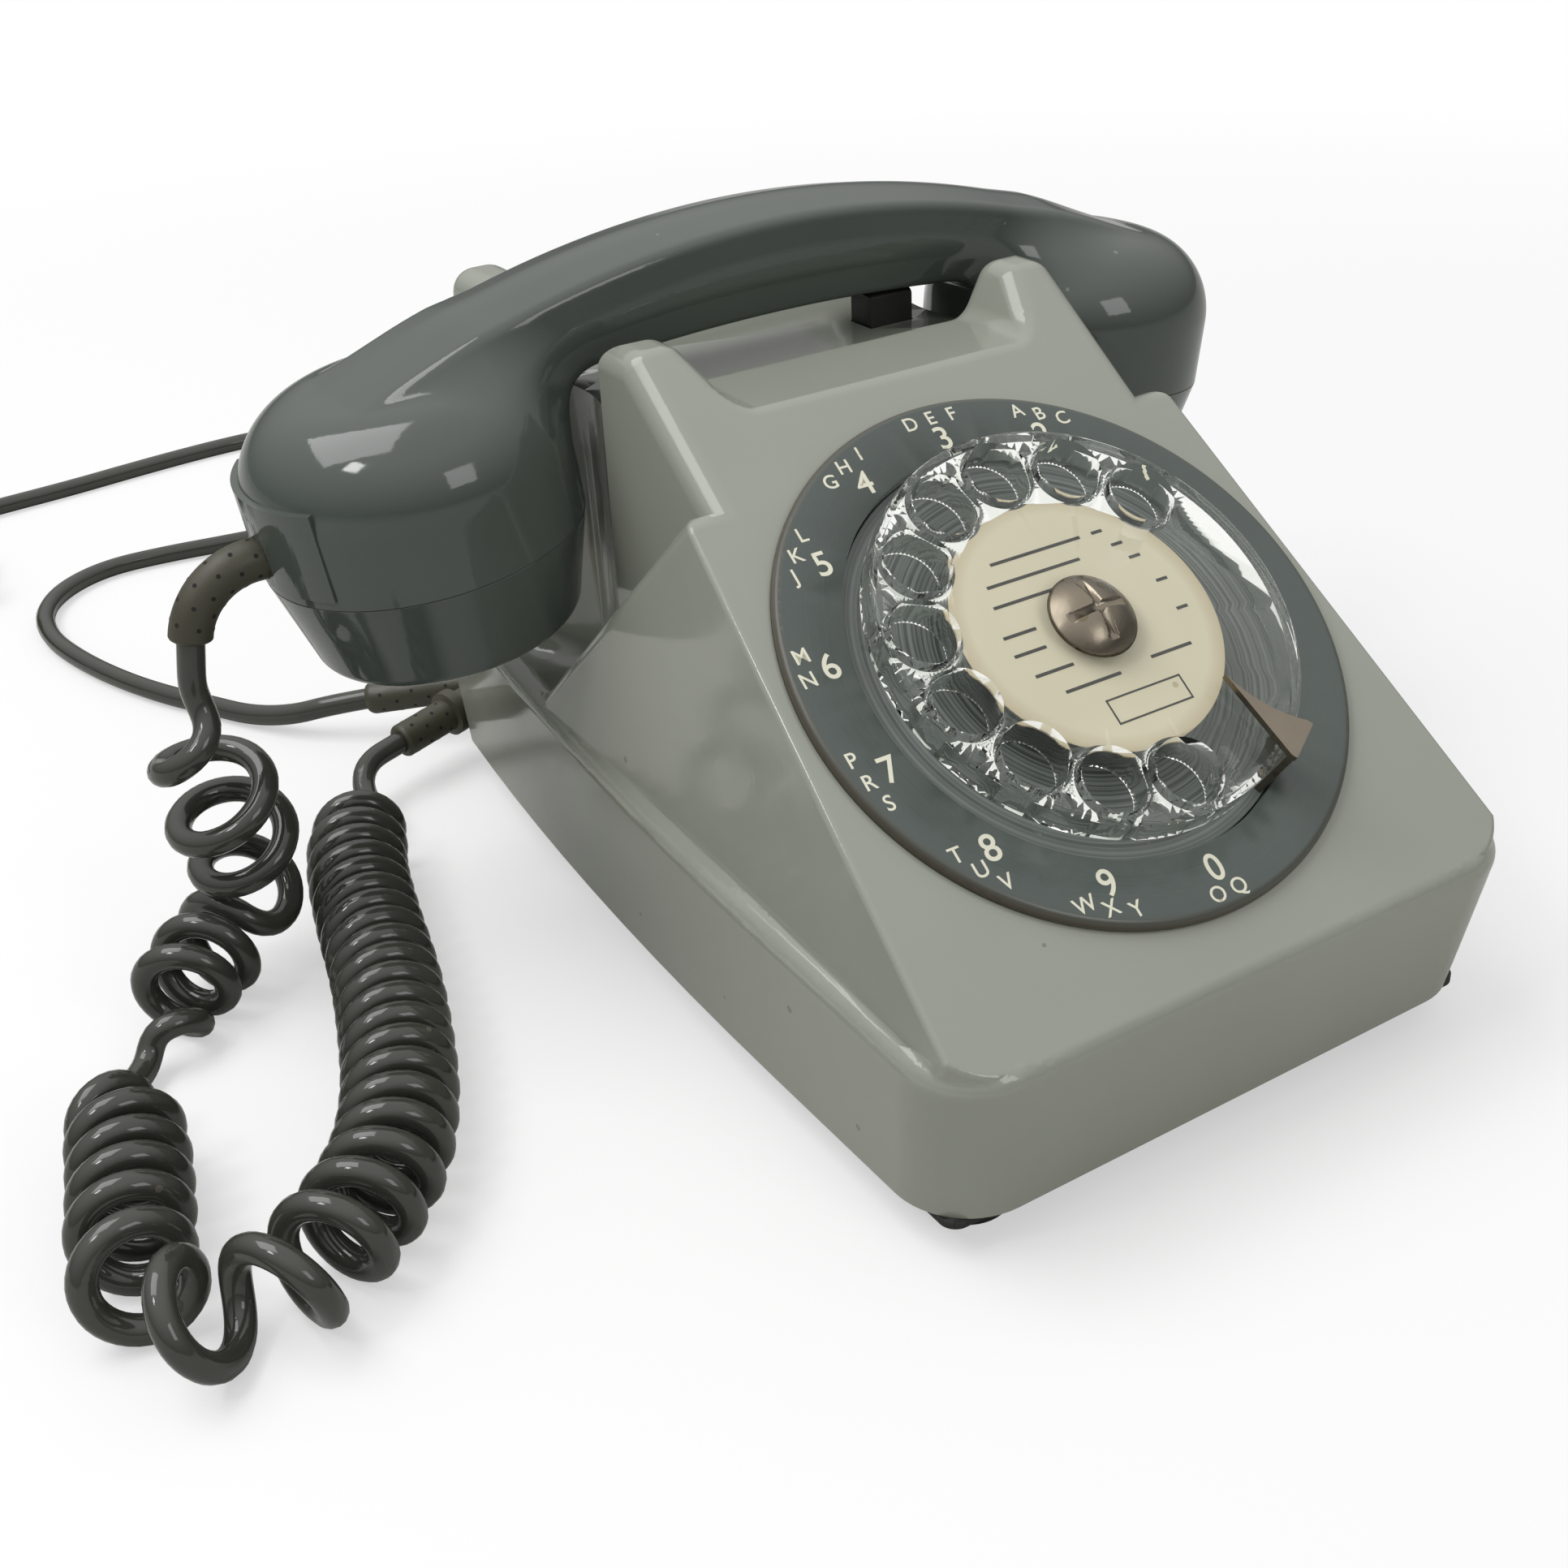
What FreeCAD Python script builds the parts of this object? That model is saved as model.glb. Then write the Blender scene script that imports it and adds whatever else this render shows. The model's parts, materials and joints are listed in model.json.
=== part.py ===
import FreeCAD, Part
import math
import os
from FreeCAD import Placement, Rotation, Vector

# Rotary desk telephone with a handset in a cradle, a curly handset cord and a line cord.
# Millimetres. X to the right, Y to the back, Z up. The origin is on the floor, under the
# middle of the telephone, which faces -Y.

# Feet and base
FOOT_HEIGHT = 8.0
FOOT_FLANGE = 24.0
FOOT_FLANGE_T = 1.5
FOOT_TOP_R = 10.5
FOOT_BOTTOM_R = 7.5
FOOT_INSET = 14.5
PLATE_T = 1.5
FIT = 0.3
RUNNING_FIT = 0.05
SCREW_R = 1.5
SCREW_HEAD_R = 3.2
SCREW_HEAD_T = 2.0
BOSS_R = 5.0
FOOT_CORNER_R = 3.0
FOOT_WEB_Z = 5.0
SCREW_GRIP = 12.0

# Housing
WALL = 2.8
RIM_FRONT_Y = -97.6
RIM_REAR_Y = 101.7
RIM_HALF_WIDTH = 59.75
FRONT_LEAN = 0.1655
SIDE_LEAN = 0.09
SIDE_ARC_START_Y = -47.6
SIDE_ARC_R = 1100.0
FRONT_CORNER_R = 14.0
REAR_CORNER_R = 5.5
LIP_HEIGHT = 31.0
RIDGE_SLOPE = 0.06
RIDGE_R = 4.0
FACE_TILT = 35.7
FACE_SINK = 0.1
SHOULDER_HALF_WIDTH = 59.5
SHOULDER_LEAN = 0.125
SHOULDER_EDGE_R = 1.2
SHOULDER_STEP = 1.5
VALLEY_ALONG_FACE = 107.0
VALLEY_EDGE_R = 4.0
DISH_ALONG_FACE = 122.95
CRADLE_HALF_WIDTH = 46.5
CRADLE_LEAN = 0.02
HORN_RISE = 9.7
HORN_INNER_X = 31.0
HORN_CREST_X = 36.0
HORN_EDGE_R = 4.8
TROUGH_FLOOR_DROP = 5.7
TROUGH_HALF = 21.0
CRADLE_BACK_Y = 86.0
CRADLE_BACK_LEAN = 0.12

# Dial, in its own frame: Z out of the sloping face, Y up the face
DIAL_ALONG_FACE = 62.74
RING_R = 52.0
RING_BORE_R = 40.5
RING_T = 2.0
RING_EDGE_R = 1.5
RING_SPIGOT_R = 47.0
RING_SPIGOT_T = 5.0
RING_LEDGE = 2.5
BED_T = 1.5
WHEEL_R = 38.1
WHEEL_TOP = 10.2
WHEEL_T = 2.4
WHEEL_EDGE_R = 0.9
WHEEL_RIM_T = 1.5
WHEEL_RIM_DEPTH = 6.0
FINGER_HOLES = 10
FINGER_HOLE_R = 6.0
FINGER_HOLE_WALL = 0.65
FINGER_HOLE_PITCH_R = 30.4
FINGER_HOLE_STEP = 360.0 / 14.0
FINGER_HOLE_DEPTH = 7.0
CARD_R = 24.6
CARD_T = 0.4
HUB_R = 20.0
HUB_T = 1.5
CENTRE_SCREW_R = 8.0
CENTRE_SCREW_DOME = 3.4
CENTRE_SCREW_SHANK_R = 2.5
CENTRE_SCREW_SHANK = 9.0
SCREW_SLOT = 1.5
SCREW_SLOT_DEPTH = 1.6
STOP_ANGLE = -57.5
STOP_T = 1.2
STOP_GAP = 0.8
STOP_TIP_R = 23.6
STOP_TIP_ANGLE = -50.2
STOP_WIDTH = 8.0
SHAFT_R = 4.0
FRAME_R = 45.5
FRAME_T = 1.5
POST_LENGTH = 3.0
POST_R = 2.5
POSTS = 3
POST_INSET = 4.5
BUSH_R = 6.5
BUSH_RISE = 4.5
WINDOW_R = 9.0
WINDOW_PITCH_R = 25.0
GEAR_MODULE = 1.0
GEAR_T = 1.6
GEAR_GAP = 1.5
GEAR_ADDENDUM = 0.75
GEAR_DEDENDUM = 1.1
TOOTH_ROOT_SHARE = 0.27
TOOTH_TIP_SHARE = 0.1
MAIN_TEETH = 48
PINION_TEETH = 12
PINION_SHAFT_R = 1.6
PINION_ANGLE = 90.0
CAM_R = 4.6
CAM_T = 1.4
GOVERNOR_R = 7.0
GOVERNOR_T = 3.0
GOVERNOR_WEIGHT_INNER_R = 4.2
SPRING_BARREL_R = 14.0
SPRING_BARREL_T = 2.2
PULSE_BLOCK = (9.0, 10.0, 8.0)
PULSE_BLADE_T = 0.5

# Hook switch under the cradle
PLUNGER_X = 28.5
PLUNGER_LENGTH = 10.0
PLUNGER_WIDTH = 7.0
PLUNGER_TOP_R = 2.2
PLUNGER_TRAVEL = 4.0
HOOK_BAR_ROOM = 1.2
HOOK_BAR_T = 3.0
HOOK_BAR_WIDTH = 10.0
HOOK_STUD_R = 2.0
HOOK_STUD_X = 4.0
HOOK_STUD_LENGTH = 16.0
CHASSIS_Y = 8.0
CHASSIS_HALF_WIDTH = 20.0
CHASSIS_T = 2.0
CHASSIS_SHELF_Z = 60.0
CHASSIS_SHELF_DEPTH = 48.0
CHASSIS_FOOT = 14.0
GUIDE_X = 17.0
GUIDE_R = 2.0
HOOK_SPRING_X = -9.0
HOOK_SPRING_R = 4.5
HOOK_SPRING_WIRE = 1.2
CONTACT_BLOCK_X = 11.0
CONTACT_BLOCK_SIZE = 7.0
CONTACT_BLADES = 3
CONTACT_BLADE_T = 0.5

# Bell and electrical pieces on the base plate
GONG_Y = 56.0
GONG_R = 19.0
GONG_RIM_Z = 16.0
GONG_TOP_Z = 30.0
GONG_DOME_R = 9.0
GONG_WALL = 1.4
GONG_POST_R = 3.0
GONG_SCREW_HEAD_R = 3.6
CLAPPER_GAP = 1.2
CLAPPER_Z = 19.0
CLAPPER_Y = 40.0
CLAPPER_PIN_R = 1.2
CLAPPER_HUB_R = 3.0
CLAPPER_HUB_T = 4.0
CLAPPER_BALL_R = 2.5
CLAPPER_ROD_R = 0.8
ARMATURE_HALF = 7.0
ARMATURE_T = 2.0
ARMATURE_GAP = 1.0
BELL_FRAME_FRONT = 13.0
BELL_FRAME_BACK = 46.0
BELL_FRAME_HALF_WIDTH = 9.5
BELL_FRAME_T = 2.0
BELL_COIL_LENGTH = 15.0
BELL_CORE_R = 3.0
BELL_COIL_R = 8.5
BELL_COIL_RISE = 10.5
ELECTRIC_Y = -46.0
TRANSFORMER = (28.0, 24.0, 20.0)
TRANSFORMER_X = -31.0
TRANSFORMER_WINDOW = 6.0
CAPACITOR_R = 10.0
CAPACITOR_LENGTH = 26.0
CAPACITOR_X = 31.0
TERMINAL_BLOCK = (12.0, 44.0, 9.0)
TERMINAL_X = -36.0
TERMINAL_Y = 8.0
TERMINALS = 6
TERMINAL_SCREW_R = 2.4
TERMINAL_SCREW_T = 1.6

# Handset
HANDSET_Y = 42.4
ARCH_TOP_Z = 132.8
ARCH_R = 200.0
ARCH_UNDER_Z = 112.2
ARCH_UNDER_R = 420.0
ARCH_SECTIONS = 9
HANDLE_TOP_HALF = 11.5
HANDLE_SIDE_HALF = 12.8
HANDLE_UNDER_HALF = 9.0
HANDLE_ROOF = 2.2
HANDLE_SIDE_DROP = 11.0
HANDLE_END_X = 96.0
BOWL_X = 74.5
BOWL_SEAM_Z = 84.0
BOWL_TILT = 7.5
BOWL_R = 30.0
BOWL_FLARE = 0.4
BOWL_HEIGHT = 30.0
BOWL_SHOULDER_R = 13.0
BOWL_WALL = 3.2
BOWL_CAVITY = 13.0
BOWL_ROOM = 5.0
CAP_HEIGHT = 19.0
CAP_END_R = 25.0
CAP_EDGE_R = 3.0
CAP_WALL = 2.4
CAP_SPIGOT = 5.0
CAP_SPIGOT_T = 1.8
SOUND_HOLE_R = 1.3
SOUND_RINGS = ((6, 6.5), (12, 12.5))
CAPSULE_R = 21.0
CAPSULE_T = 11.0
CAPSULE_NECK = 4.4
CORD_PLATE_ANGLE = 36.0
CORD_PLATE_LOW = 2.0
CORD_PLATE_HIGH = 18.5
CORD_PLATE_DEPTH = 2.0
CORD_PLATE_PROUD = 0.5

# Boots and cords
CORD_D = 5.0
BOOT_R = 3.9
BOOT_ROOT_R = 4.7
BOOT_COLLAR_R = 5.4
BOOT_COLLAR_T = 2.0
HANDSET_BOOT_BEND_R = 14.0
HANDSET_BOOT_TURN = 80.0
HANDSET_BOOT_STUB = 1.0
HANDSET_BOOT_RISE = 7.0
LINE_BOOT_START = (-21.0, 99.4, 16.8)
LINE_BOOT_END = (-62.5, 128.5, 10.0)
CURLY_BOOT_START = (-42.5, 98.5, 14.0)
CURLY_BOOT_ELBOW = (-44.0, 106.2, 13.8)
CURLY_BOOT_END = (-66.5, 99.5, 12.0)
CURLY_BOOT_BEND_R = 5.0

# Middle line of the curly cord: x, y, z, curl radius, pitch of the curls
CURLY_ROUTE = (
    (-122.0, 42.4, 66.5, 0.0, 30.0), (-123.4, 42.2, 58.5, 3.0, 24.0), (-123.0, 42.6, 50.5, 8.5, 15.0),
    (-121.0, 44.0, 42.0, 9.5, 12.0), (-118.5, 46.5, 32.5, 9.0, 13.0), (-117.0, 49.5, 22.5, 8.5, 17.0),
    (-118.5, 51.5, 14.5, 8.0, 20.0), (-123.5, 49.5, 10.9, 7.75, 13.0), (-129.5, 44.5, 10.6, 7.75, 7.5),
    (-135.5, 39.0, 10.4, 7.75, 7.5), (-140.5, 34.0, 8.0, 6.0, 12.0), (-145.0, 29.0, 4.2, 1.5, 30.0),
    (-149.0, 25.5, 3.2, 0.0, 60.0),
    (-156.0, 19.5, 4.0, 0.0, 40.0), (-158.0, 11.0, 8.5, 5.0, 14.0), (-157.5, 2.0, 10.6, 7.75, 7.6),
    (-160.0, -9.0, 10.6, 7.75, 6.8), (-163.0, -20.0, 10.6, 7.75, 7.0), (-166.5, -31.0, 10.6, 7.75, 11.0),
    (-167.0, -43.0, 10.6, 7.75, 17.0), (-157.0, -51.0, 10.6, 7.75, 17.0), (-145.0, -48.5, 10.6, 7.75, 12.0),
    (-134.0, -42.0, 10.6, 7.75, 7.6), (-124.0, -32.5, 10.6, 7.75, 7.0), (-116.0, -18.0, 10.6, 7.75, 6.6),
    (-110.5, -3.0, 10.6, 7.75, 6.4), (-104.5, 16.0, 10.6, 7.75, 6.4), (-99.5, 38.0, 10.6, 7.75, 6.4),
    (-94.0, 58.0, 10.6, 7.75, 6.6), (-88.0, 70.5, 10.6, 7.75, 8.0), (-82.5, 78.0, 8.5, 3.5, 16.0),
    (-80.0, 85.0, 6.5, 0.0, 40.0), (-79.3, 92.0, 8.5, 0.0, 60.0), (-75.6, 96.9, 11.2, 0.0, 60.0))
CURLY_HANGING_TURNS = 4.0
CURLY_STEPS = 6000
CURLY_LONGEST_STEP = 7.0

LINE_ROUTE = (
    (-70.5, 134.0, 8.4), (-78.0, 140.5, 5.4), (-85.0, 151.5, 2.9), (-91.5, 164.0, 2.7), (-99.0, 177.0, 2.7),
    (-106.0, 194.0, 2.7), (-111.0, 212.0, 2.7), (-113.5, 229.0, 2.7), (-111.5, 246.0, 2.7),
    (-102.5, 260.0, 2.7), (-88.0, 268.0, 2.7), (-70.5, 267.0, 2.7), (-52.0, 263.5, 2.7), (-33.0, 261.0, 2.7),
    (-11.0, 262.5, 2.7), (10.0, 270.0, 2.7), (25.0, 285.0, 2.7), (30.0, 305.0, 2.7), (24.0, 326.0, 2.7),
    (8.0, 341.0, 2.7), (-12.0, 347.5, 2.7), (-34.0, 347.0, 2.7), (-56.0, 344.5, 2.7), (-78.0, 341.0, 2.7),
    (-100.0, 338.6, 2.9), (-120.0, 335.4, 3.3), (-137.0, 336.4, 3.7))
BEND_SHARE = 0.45
COIL_CENTRE_X = -158.0
COIL_START_Y = 336.0
COIL_MIDDLE_R = 28.6
COIL_TURNS = 3.875
COIL_STEP = 6.3
COIL_LAYER = 6.3
COIL_TAIL = 32.0
TIE_T = 1.0
TIE_WIDTH = 5.0
TIE_ANGLE = -35.0
PLUG_LENGTH = 34.0
PLUG_WIDTH = 22.0
PLUG_EDGE_R = 3.0
BLADES = 3
BLADE_LENGTH = 13.0
BLADE_WIDTH = 5.0
BLADE_T = 1.5


def vec(x, y, z):
    return Vector(x, y, z)


def line(start, end):
    return Part.LineSegment(start, end).toShape()


def polygon_face(points):
    return Part.Face(Part.makePolygon(points + points[:1]))


def rounded_wire(corners):
    """Closed wire through (corner, radius) pairs, with a tangent arc at each radius."""
    stretches = []
    for index, (corner, radius) in enumerate(corners):
        if radius <= 0:
            stretches.append((corner, None, corner))
            continue
        back = (corners[index - 1][0] - corner).normalize()
        ahead = (corners[(index + 1) % len(corners)][0] - corner).normalize()
        half = back.getAngle(ahead) / 2
        reach = radius / math.tan(half)
        middle = corner + (back + ahead).normalize() * (radius / math.sin(half) - radius)
        stretches.append((corner + back * reach, middle, corner + ahead * reach))
    edges = []
    for index, (start, middle, end) in enumerate(stretches):
        if middle is not None:
            edges.append(Part.Arc(start, middle, end).toShape())
        following = stretches[(index + 1) % len(stretches)][0]
        if end.distanceToPoint(following) > 1e-6:
            edges.append(line(end, following))
    return Part.Wire(edges)


def cylinder(radius, base, top, axis_x=0.0, axis_y=0.0):
    return Part.makeCylinder(radius, top - base, vec(axis_x, axis_y, base))


def ring(outer, inner, base, top, axis_x=0.0, axis_y=0.0):
    hole = cylinder(inner, base - 1, top + 1, axis_x, axis_y)
    return cylinder(outer, base, top, axis_x, axis_y).cut(hole)


def box(low, high):
    size = high - low
    return Part.makeBox(size.x, size.y, size.z, low)


def turned_polygon(points):
    """Solid of revolution about Z of a polygon of (radius, height, corner radius)."""
    corners = [(vec(r, 0, z), radius) for r, z, radius in points]
    return Part.Face(rounded_wire(corners)).revolve(vec(0, 0, 0), vec(0, 0, 1), 360)


def mirror_x(shape):
    return shape.mirror(vec(0, 0, 0), vec(1, 0, 0))


def polar(radius, degrees, height=0.0):
    angle = math.radians(degrees)
    return vec(radius * math.cos(angle), radius * math.sin(angle), height)


FACE_COS = math.cos(math.radians(FACE_TILT))
FACE_SIN = math.sin(math.radians(FACE_TILT))
UP_FACE = vec(0, FACE_COS, FACE_SIN)
OUT_OF_FACE = vec(0, -FACE_SIN, FACE_COS)
RIDGE_Y = RIM_FRONT_Y - FRONT_LEAN * LIP_HEIGHT
RIDGE_Z = FOOT_HEIGHT + LIP_HEIGHT


def face_contact():
    """Line where the sloping face runs tangent into the rounded edge of the front lip."""
    wall_out = vec(0, -1, -FRONT_LEAN).normalize()
    top_up = vec(0, -RIDGE_SLOPE, 1).normalize()
    inward = (wall_out + top_up) * (RIDGE_R / (1 + wall_out.dot(top_up)))
    return vec(0, RIDGE_Y, RIDGE_Z) - inward + OUT_OF_FACE * RIDGE_R


def face_crease():
    """Corner where the sloping face and the leaning front wall would meet if both were sharp."""
    contact = face_contact()
    rise = ((contact.y - RIM_FRONT_Y) * FACE_SIN / FACE_COS - contact.z + FOOT_HEIGHT)
    height = -rise / (1 + FRONT_LEAN * FACE_SIN / FACE_COS)
    return vec(0, RIM_FRONT_Y - FRONT_LEAN * height, FOOT_HEIGHT + height)


CONTACT = face_contact()
CREASE = face_crease()
DIAL_CENTRE = CREASE + UP_FACE * DIAL_ALONG_FACE
DISH_Z = (CREASE + UP_FACE * DISH_ALONG_FACE).z
HORN_Z = DISH_Z + HORN_RISE
TROUGH_Z = DISH_Z - TROUGH_FLOOR_DROP
PLATE_TOP = FOOT_HEIGHT + PLATE_T
REACH = 400.0


def rim_half_width(y):
    past = max(0.0, y - SIDE_ARC_START_Y)
    return RIM_HALF_WIDTH - past * past / (2 * SIDE_ARC_R)


def skirt_outline(z, inset):
    rise = z - FOOT_HEIGHT
    front = RIM_FRONT_Y - FRONT_LEAN * rise + inset
    back = RIM_REAR_Y - inset
    bulge = SIDE_LEAN * rise - inset
    middle = (SIDE_ARC_START_Y + back) / 2
    at = {}
    for name, y in (("front", front), ("start", SIDE_ARC_START_Y), ("middle", middle), ("back", back)):
        at[name] = (rim_half_width(y) + bulge, y)

    def corner(name, side):
        return vec(side * at[name][0], at[name][1], z)

    edges = [line(corner("front", -1), corner("front", 1)), line(corner("front", 1), corner("start", 1))]
    edges.append(Part.Arc(corner("start", 1), corner("middle", 1), corner("back", 1)).toShape())
    edges.append(line(corner("back", 1), corner("back", -1)))
    edges.append(Part.Arc(corner("back", -1), corner("middle", -1), corner("start", -1)).toShape())
    edges.append(line(corner("start", -1), corner("front", -1)))
    return Part.Wire(edges)


def edge_ends(edge):
    return edge.Vertexes[0].Point, edge.Vertexes[-1].Point


def upright_edges(solid, front):
    """The corner edges of a skirt-like solid that climb at its front or at its back."""
    chosen = []
    for edge in solid.Edges:
        start, end = edge_ends(edge)
        climbs = abs(start.z - end.z) > LIP_HEIGHT / 2
        near_front = max(start.y, end.y) < RIM_FRONT_Y + FRONT_CORNER_R
        near_back = min(start.y, end.y) > RIM_REAR_Y - REAR_CORNER_R
        if climbs and (near_front if front else near_back):
            chosen.append(edge)
    return chosen


def skirt_column(inset, low, high):
    """The skirt's leaning walls between two levels, with rounded upright corners."""
    column = Part.makeLoft([skirt_outline(low, inset), skirt_outline(high, inset)], True, True)
    column = column.makeFillet(FRONT_CORNER_R - inset, upright_edges(column, True))
    return column.makeFillet(REAR_CORNER_R - inset, upright_edges(column, False))


def ridge_z(y):
    return RIDGE_Z + RIDGE_SLOPE * (y - RIDGE_Y)


def skirt_form(inset, low):
    """Lower part of the housing: leaning walls under a top that climbs to the back."""
    high = ridge_z(REACH / 2)
    column = skirt_column(inset, low, high)
    above = polygon_face([vec(0, -REACH, ridge_z(-REACH) - inset), vec(0, REACH, ridge_z(REACH) - inset),
                          vec(0, REACH, REACH), vec(0, -REACH, REACH)])
    above = above.extrude(vec(2 * REACH, 0, 0))
    above.translate(vec(-REACH, 0, 0))
    return column.cut(above)


def shoulder_form(inset, low):
    """Wedge under the sloping face, between the two side faces and the 45 degree valleys."""
    sunk = OUT_OF_FACE * (inset + FACE_SINK)
    start = CONTACT - sunk + UP_FACE * inset
    crest = CREASE - sunk + UP_FACE * VALLEY_ALONG_FACE - vec(0, inset * math.sqrt(2), 0)
    foot = vec(0, crest.y + crest.z - low, low)
    wedge = polygon_face([start, crest, foot, vec(0, start.y, low)]).extrude(vec(2 * REACH, 0, 0))
    wedge.translate(vec(-REACH, 0, 0))

    def half_width(z):
        return SHOULDER_HALF_WIDTH - SHOULDER_LEAN * (z - RIDGE_Z) - inset

    high = crest.z + LIP_HEIGHT
    sides = polygon_face([vec(-half_width(low), -REACH, low), vec(half_width(low), -REACH, low),
                          vec(half_width(high), -REACH, high), vec(-half_width(high), -REACH, high)])
    wedge = wedge.common(sides.extrude(vec(0, 2 * REACH, 0)))
    return wedge.common(skirt_column(inset + SHOULDER_STEP, low - 1, high))


def round_shoulder(wedge):
    """Soft edges along the valleys and crisp ones beside the sloping face."""
    valley = []
    for edge in wedge.Edges:
        start, end = edge_ends(edge)
        run = end - start
        falls_back = abs(run.y) > LIP_HEIGHT and run.y * run.z < -1
        crosses = abs(run.x) > LIP_HEIGHT and start.z > DIAL_CENTRE.z
        if falls_back or crosses:
            valley.append(edge)
    wedge = wedge.makeFillet(VALLEY_EDGE_R, valley)
    top_face = max(wedge.Faces, key=lambda face: face.Area * face.normalAt(0, 0).dot(OUT_OF_FACE) ** 9)
    crisp = [edge for edge in top_face.Edges if min(p.y for p in edge_ends(edge)) < CONTACT.y + LIP_HEIGHT]
    crisp = [edge for edge in crisp if abs(edge.BoundBox.XLength) < SHOULDER_HALF_WIDTH]
    return wedge.makeFillet(SHOULDER_EDGE_R, crisp)


def on_face_at(z, inset):
    base = CREASE - OUT_OF_FACE * inset
    return base + UP_FACE * ((z - base.z) / FACE_SIN)


def cradle_form(low):
    """Cradle: four horns round a shallow dish, crossed by the trough for the handle."""
    side = CRADLE_HALF_WIDTH
    half = [vec(side + CRADLE_LEAN * (HORN_Z - low), -REACH, low), vec(side, -REACH, HORN_Z),
            vec(HORN_CREST_X, -REACH, HORN_Z), vec(HORN_INNER_X, -REACH, DISH_Z)]
    other = [vec(-corner.x, corner.y, corner.z) for corner in reversed(half)]
    across = polygon_face(half + other).extrude(vec(0, 2 * REACH, 0))
    high = HORN_Z + HORN_RISE
    front_wall = HANDSET_Y - TROUGH_HALF
    back_wall = HANDSET_Y + TROUGH_HALF
    lean = CRADLE_BACK_LEAN
    along = [on_face_at(low, FACE_SINK), on_face_at(high, FACE_SINK), vec(0, front_wall, high),
             vec(0, front_wall, TROUGH_Z), vec(0, back_wall, TROUGH_Z), vec(0, back_wall, high),
             vec(0, CRADLE_BACK_Y - lean * (high - HORN_Z), high),
             vec(0, CRADLE_BACK_Y + lean * (HORN_Z - low), low)]
    lengthways = polygon_face(along).extrude(vec(2 * REACH, 0, 0))
    lengthways.translate(vec(-REACH, 0, 0))
    cradle = across.common(lengthways)
    soft = []
    for edge in cradle.Edges:
        start, end = edge_ends(edge)
        on_horn = min(start.z, end.z) > DISH_Z - 0.5
        upright = abs(start.z - end.z) > LIP_HEIGHT
        if on_horn or upright:
            soft.append(edge)
    return cradle.makeFillet(HORN_EDGE_R, soft)


def cradle_hollow(low):
    """Room inside the cradle, one wall in from its sides and under the trough's floor."""
    side = CRADLE_HALF_WIDTH - WALL
    high = TROUGH_Z - WALL
    back = CRADLE_BACK_Y + CRADLE_BACK_LEAN * (HORN_Z - high) - WALL
    foot = back + CRADLE_BACK_LEAN * (high - low)
    profile = polygon_face([on_face_at(low, WALL), on_face_at(high, WALL), vec(0, back, high),
                            vec(0, foot, low)])
    room = profile.extrude(vec(2 * side, 0, 0))
    room.translate(vec(-side, 0, 0))
    return room


def foot_places():
    places = []
    for y in (RIM_FRONT_Y + FOOT_INSET, RIM_REAR_Y - FOOT_INSET):
        for side in (-1, 1):
            places.append((side * (rim_half_width(y) - FOOT_INSET), y))
    return places


def on_dial(shape):
    """Move a shape from the dial's own frame onto the sloping face."""
    placed = shape.copy()
    placed.Placement = Placement(DIAL_CENTRE, Rotation(vec(1, 0, 0), FACE_TILT)).multiply(shape.Placement)
    return placed


def bowl_placement():
    """Frame of the left bowl: origin at the middle of its seam, Z up along its axis."""
    return Placement(vec(-BOWL_X, HANDSET_Y, BOWL_SEAM_Z), Rotation(vec(0, 1, 0), -BOWL_TILT))


def on_bowl(shape):
    placed = shape.copy()
    placed.Placement = bowl_placement().multiply(shape.Placement)
    return placed


def cone_along(start, end, start_radius, end_radius):
    axis = end - start
    return Part.makeCone(start_radius, end_radius, axis.Length, start, axis)


def plunger_block(room, low, high):
    half = vec(PLUNGER_LENGTH / 2 + room, PLUNGER_WIDTH / 2 + room, 0)
    middle = vec(PLUNGER_X, HANDSET_Y, 0)
    return box(middle - half + vec(0, 0, low), middle + half + vec(0, 0, high))


def bowl_scoop(room):
    """Upright round clearance beside the cradle for the bowl of the handset that hangs there."""
    return cylinder(BOWL_R + BOWL_ROOM + room, 0, REACH, -BOWL_X, HANDSET_Y)


def line_boot(room):
    return cone_along(vec(*LINE_BOOT_START), vec(*LINE_BOOT_END), BOOT_ROOT_R + room, BOOT_R + room)


def curly_boot(room):
    """Elbow out of the back wall that turns to the left and carries the curly cord."""
    start = vec(*CURLY_BOOT_START)
    elbow = vec(*CURLY_BOOT_ELBOW)
    end = vec(*CURLY_BOOT_END)
    path, _ = tangent_path([start, elbow, end], [CURLY_BOOT_BEND_R])
    tube = tube_on(path, start, elbow - start, BOOT_R + room)
    along = (end - elbow).normalize()
    collar = elbow + along * (CURLY_BOOT_BEND_R + BOOT_COLLAR_T)
    return tube.fuse(Part.makeCylinder(BOOT_COLLAR_R + room, BOOT_COLLAR_T, collar, along))


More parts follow.
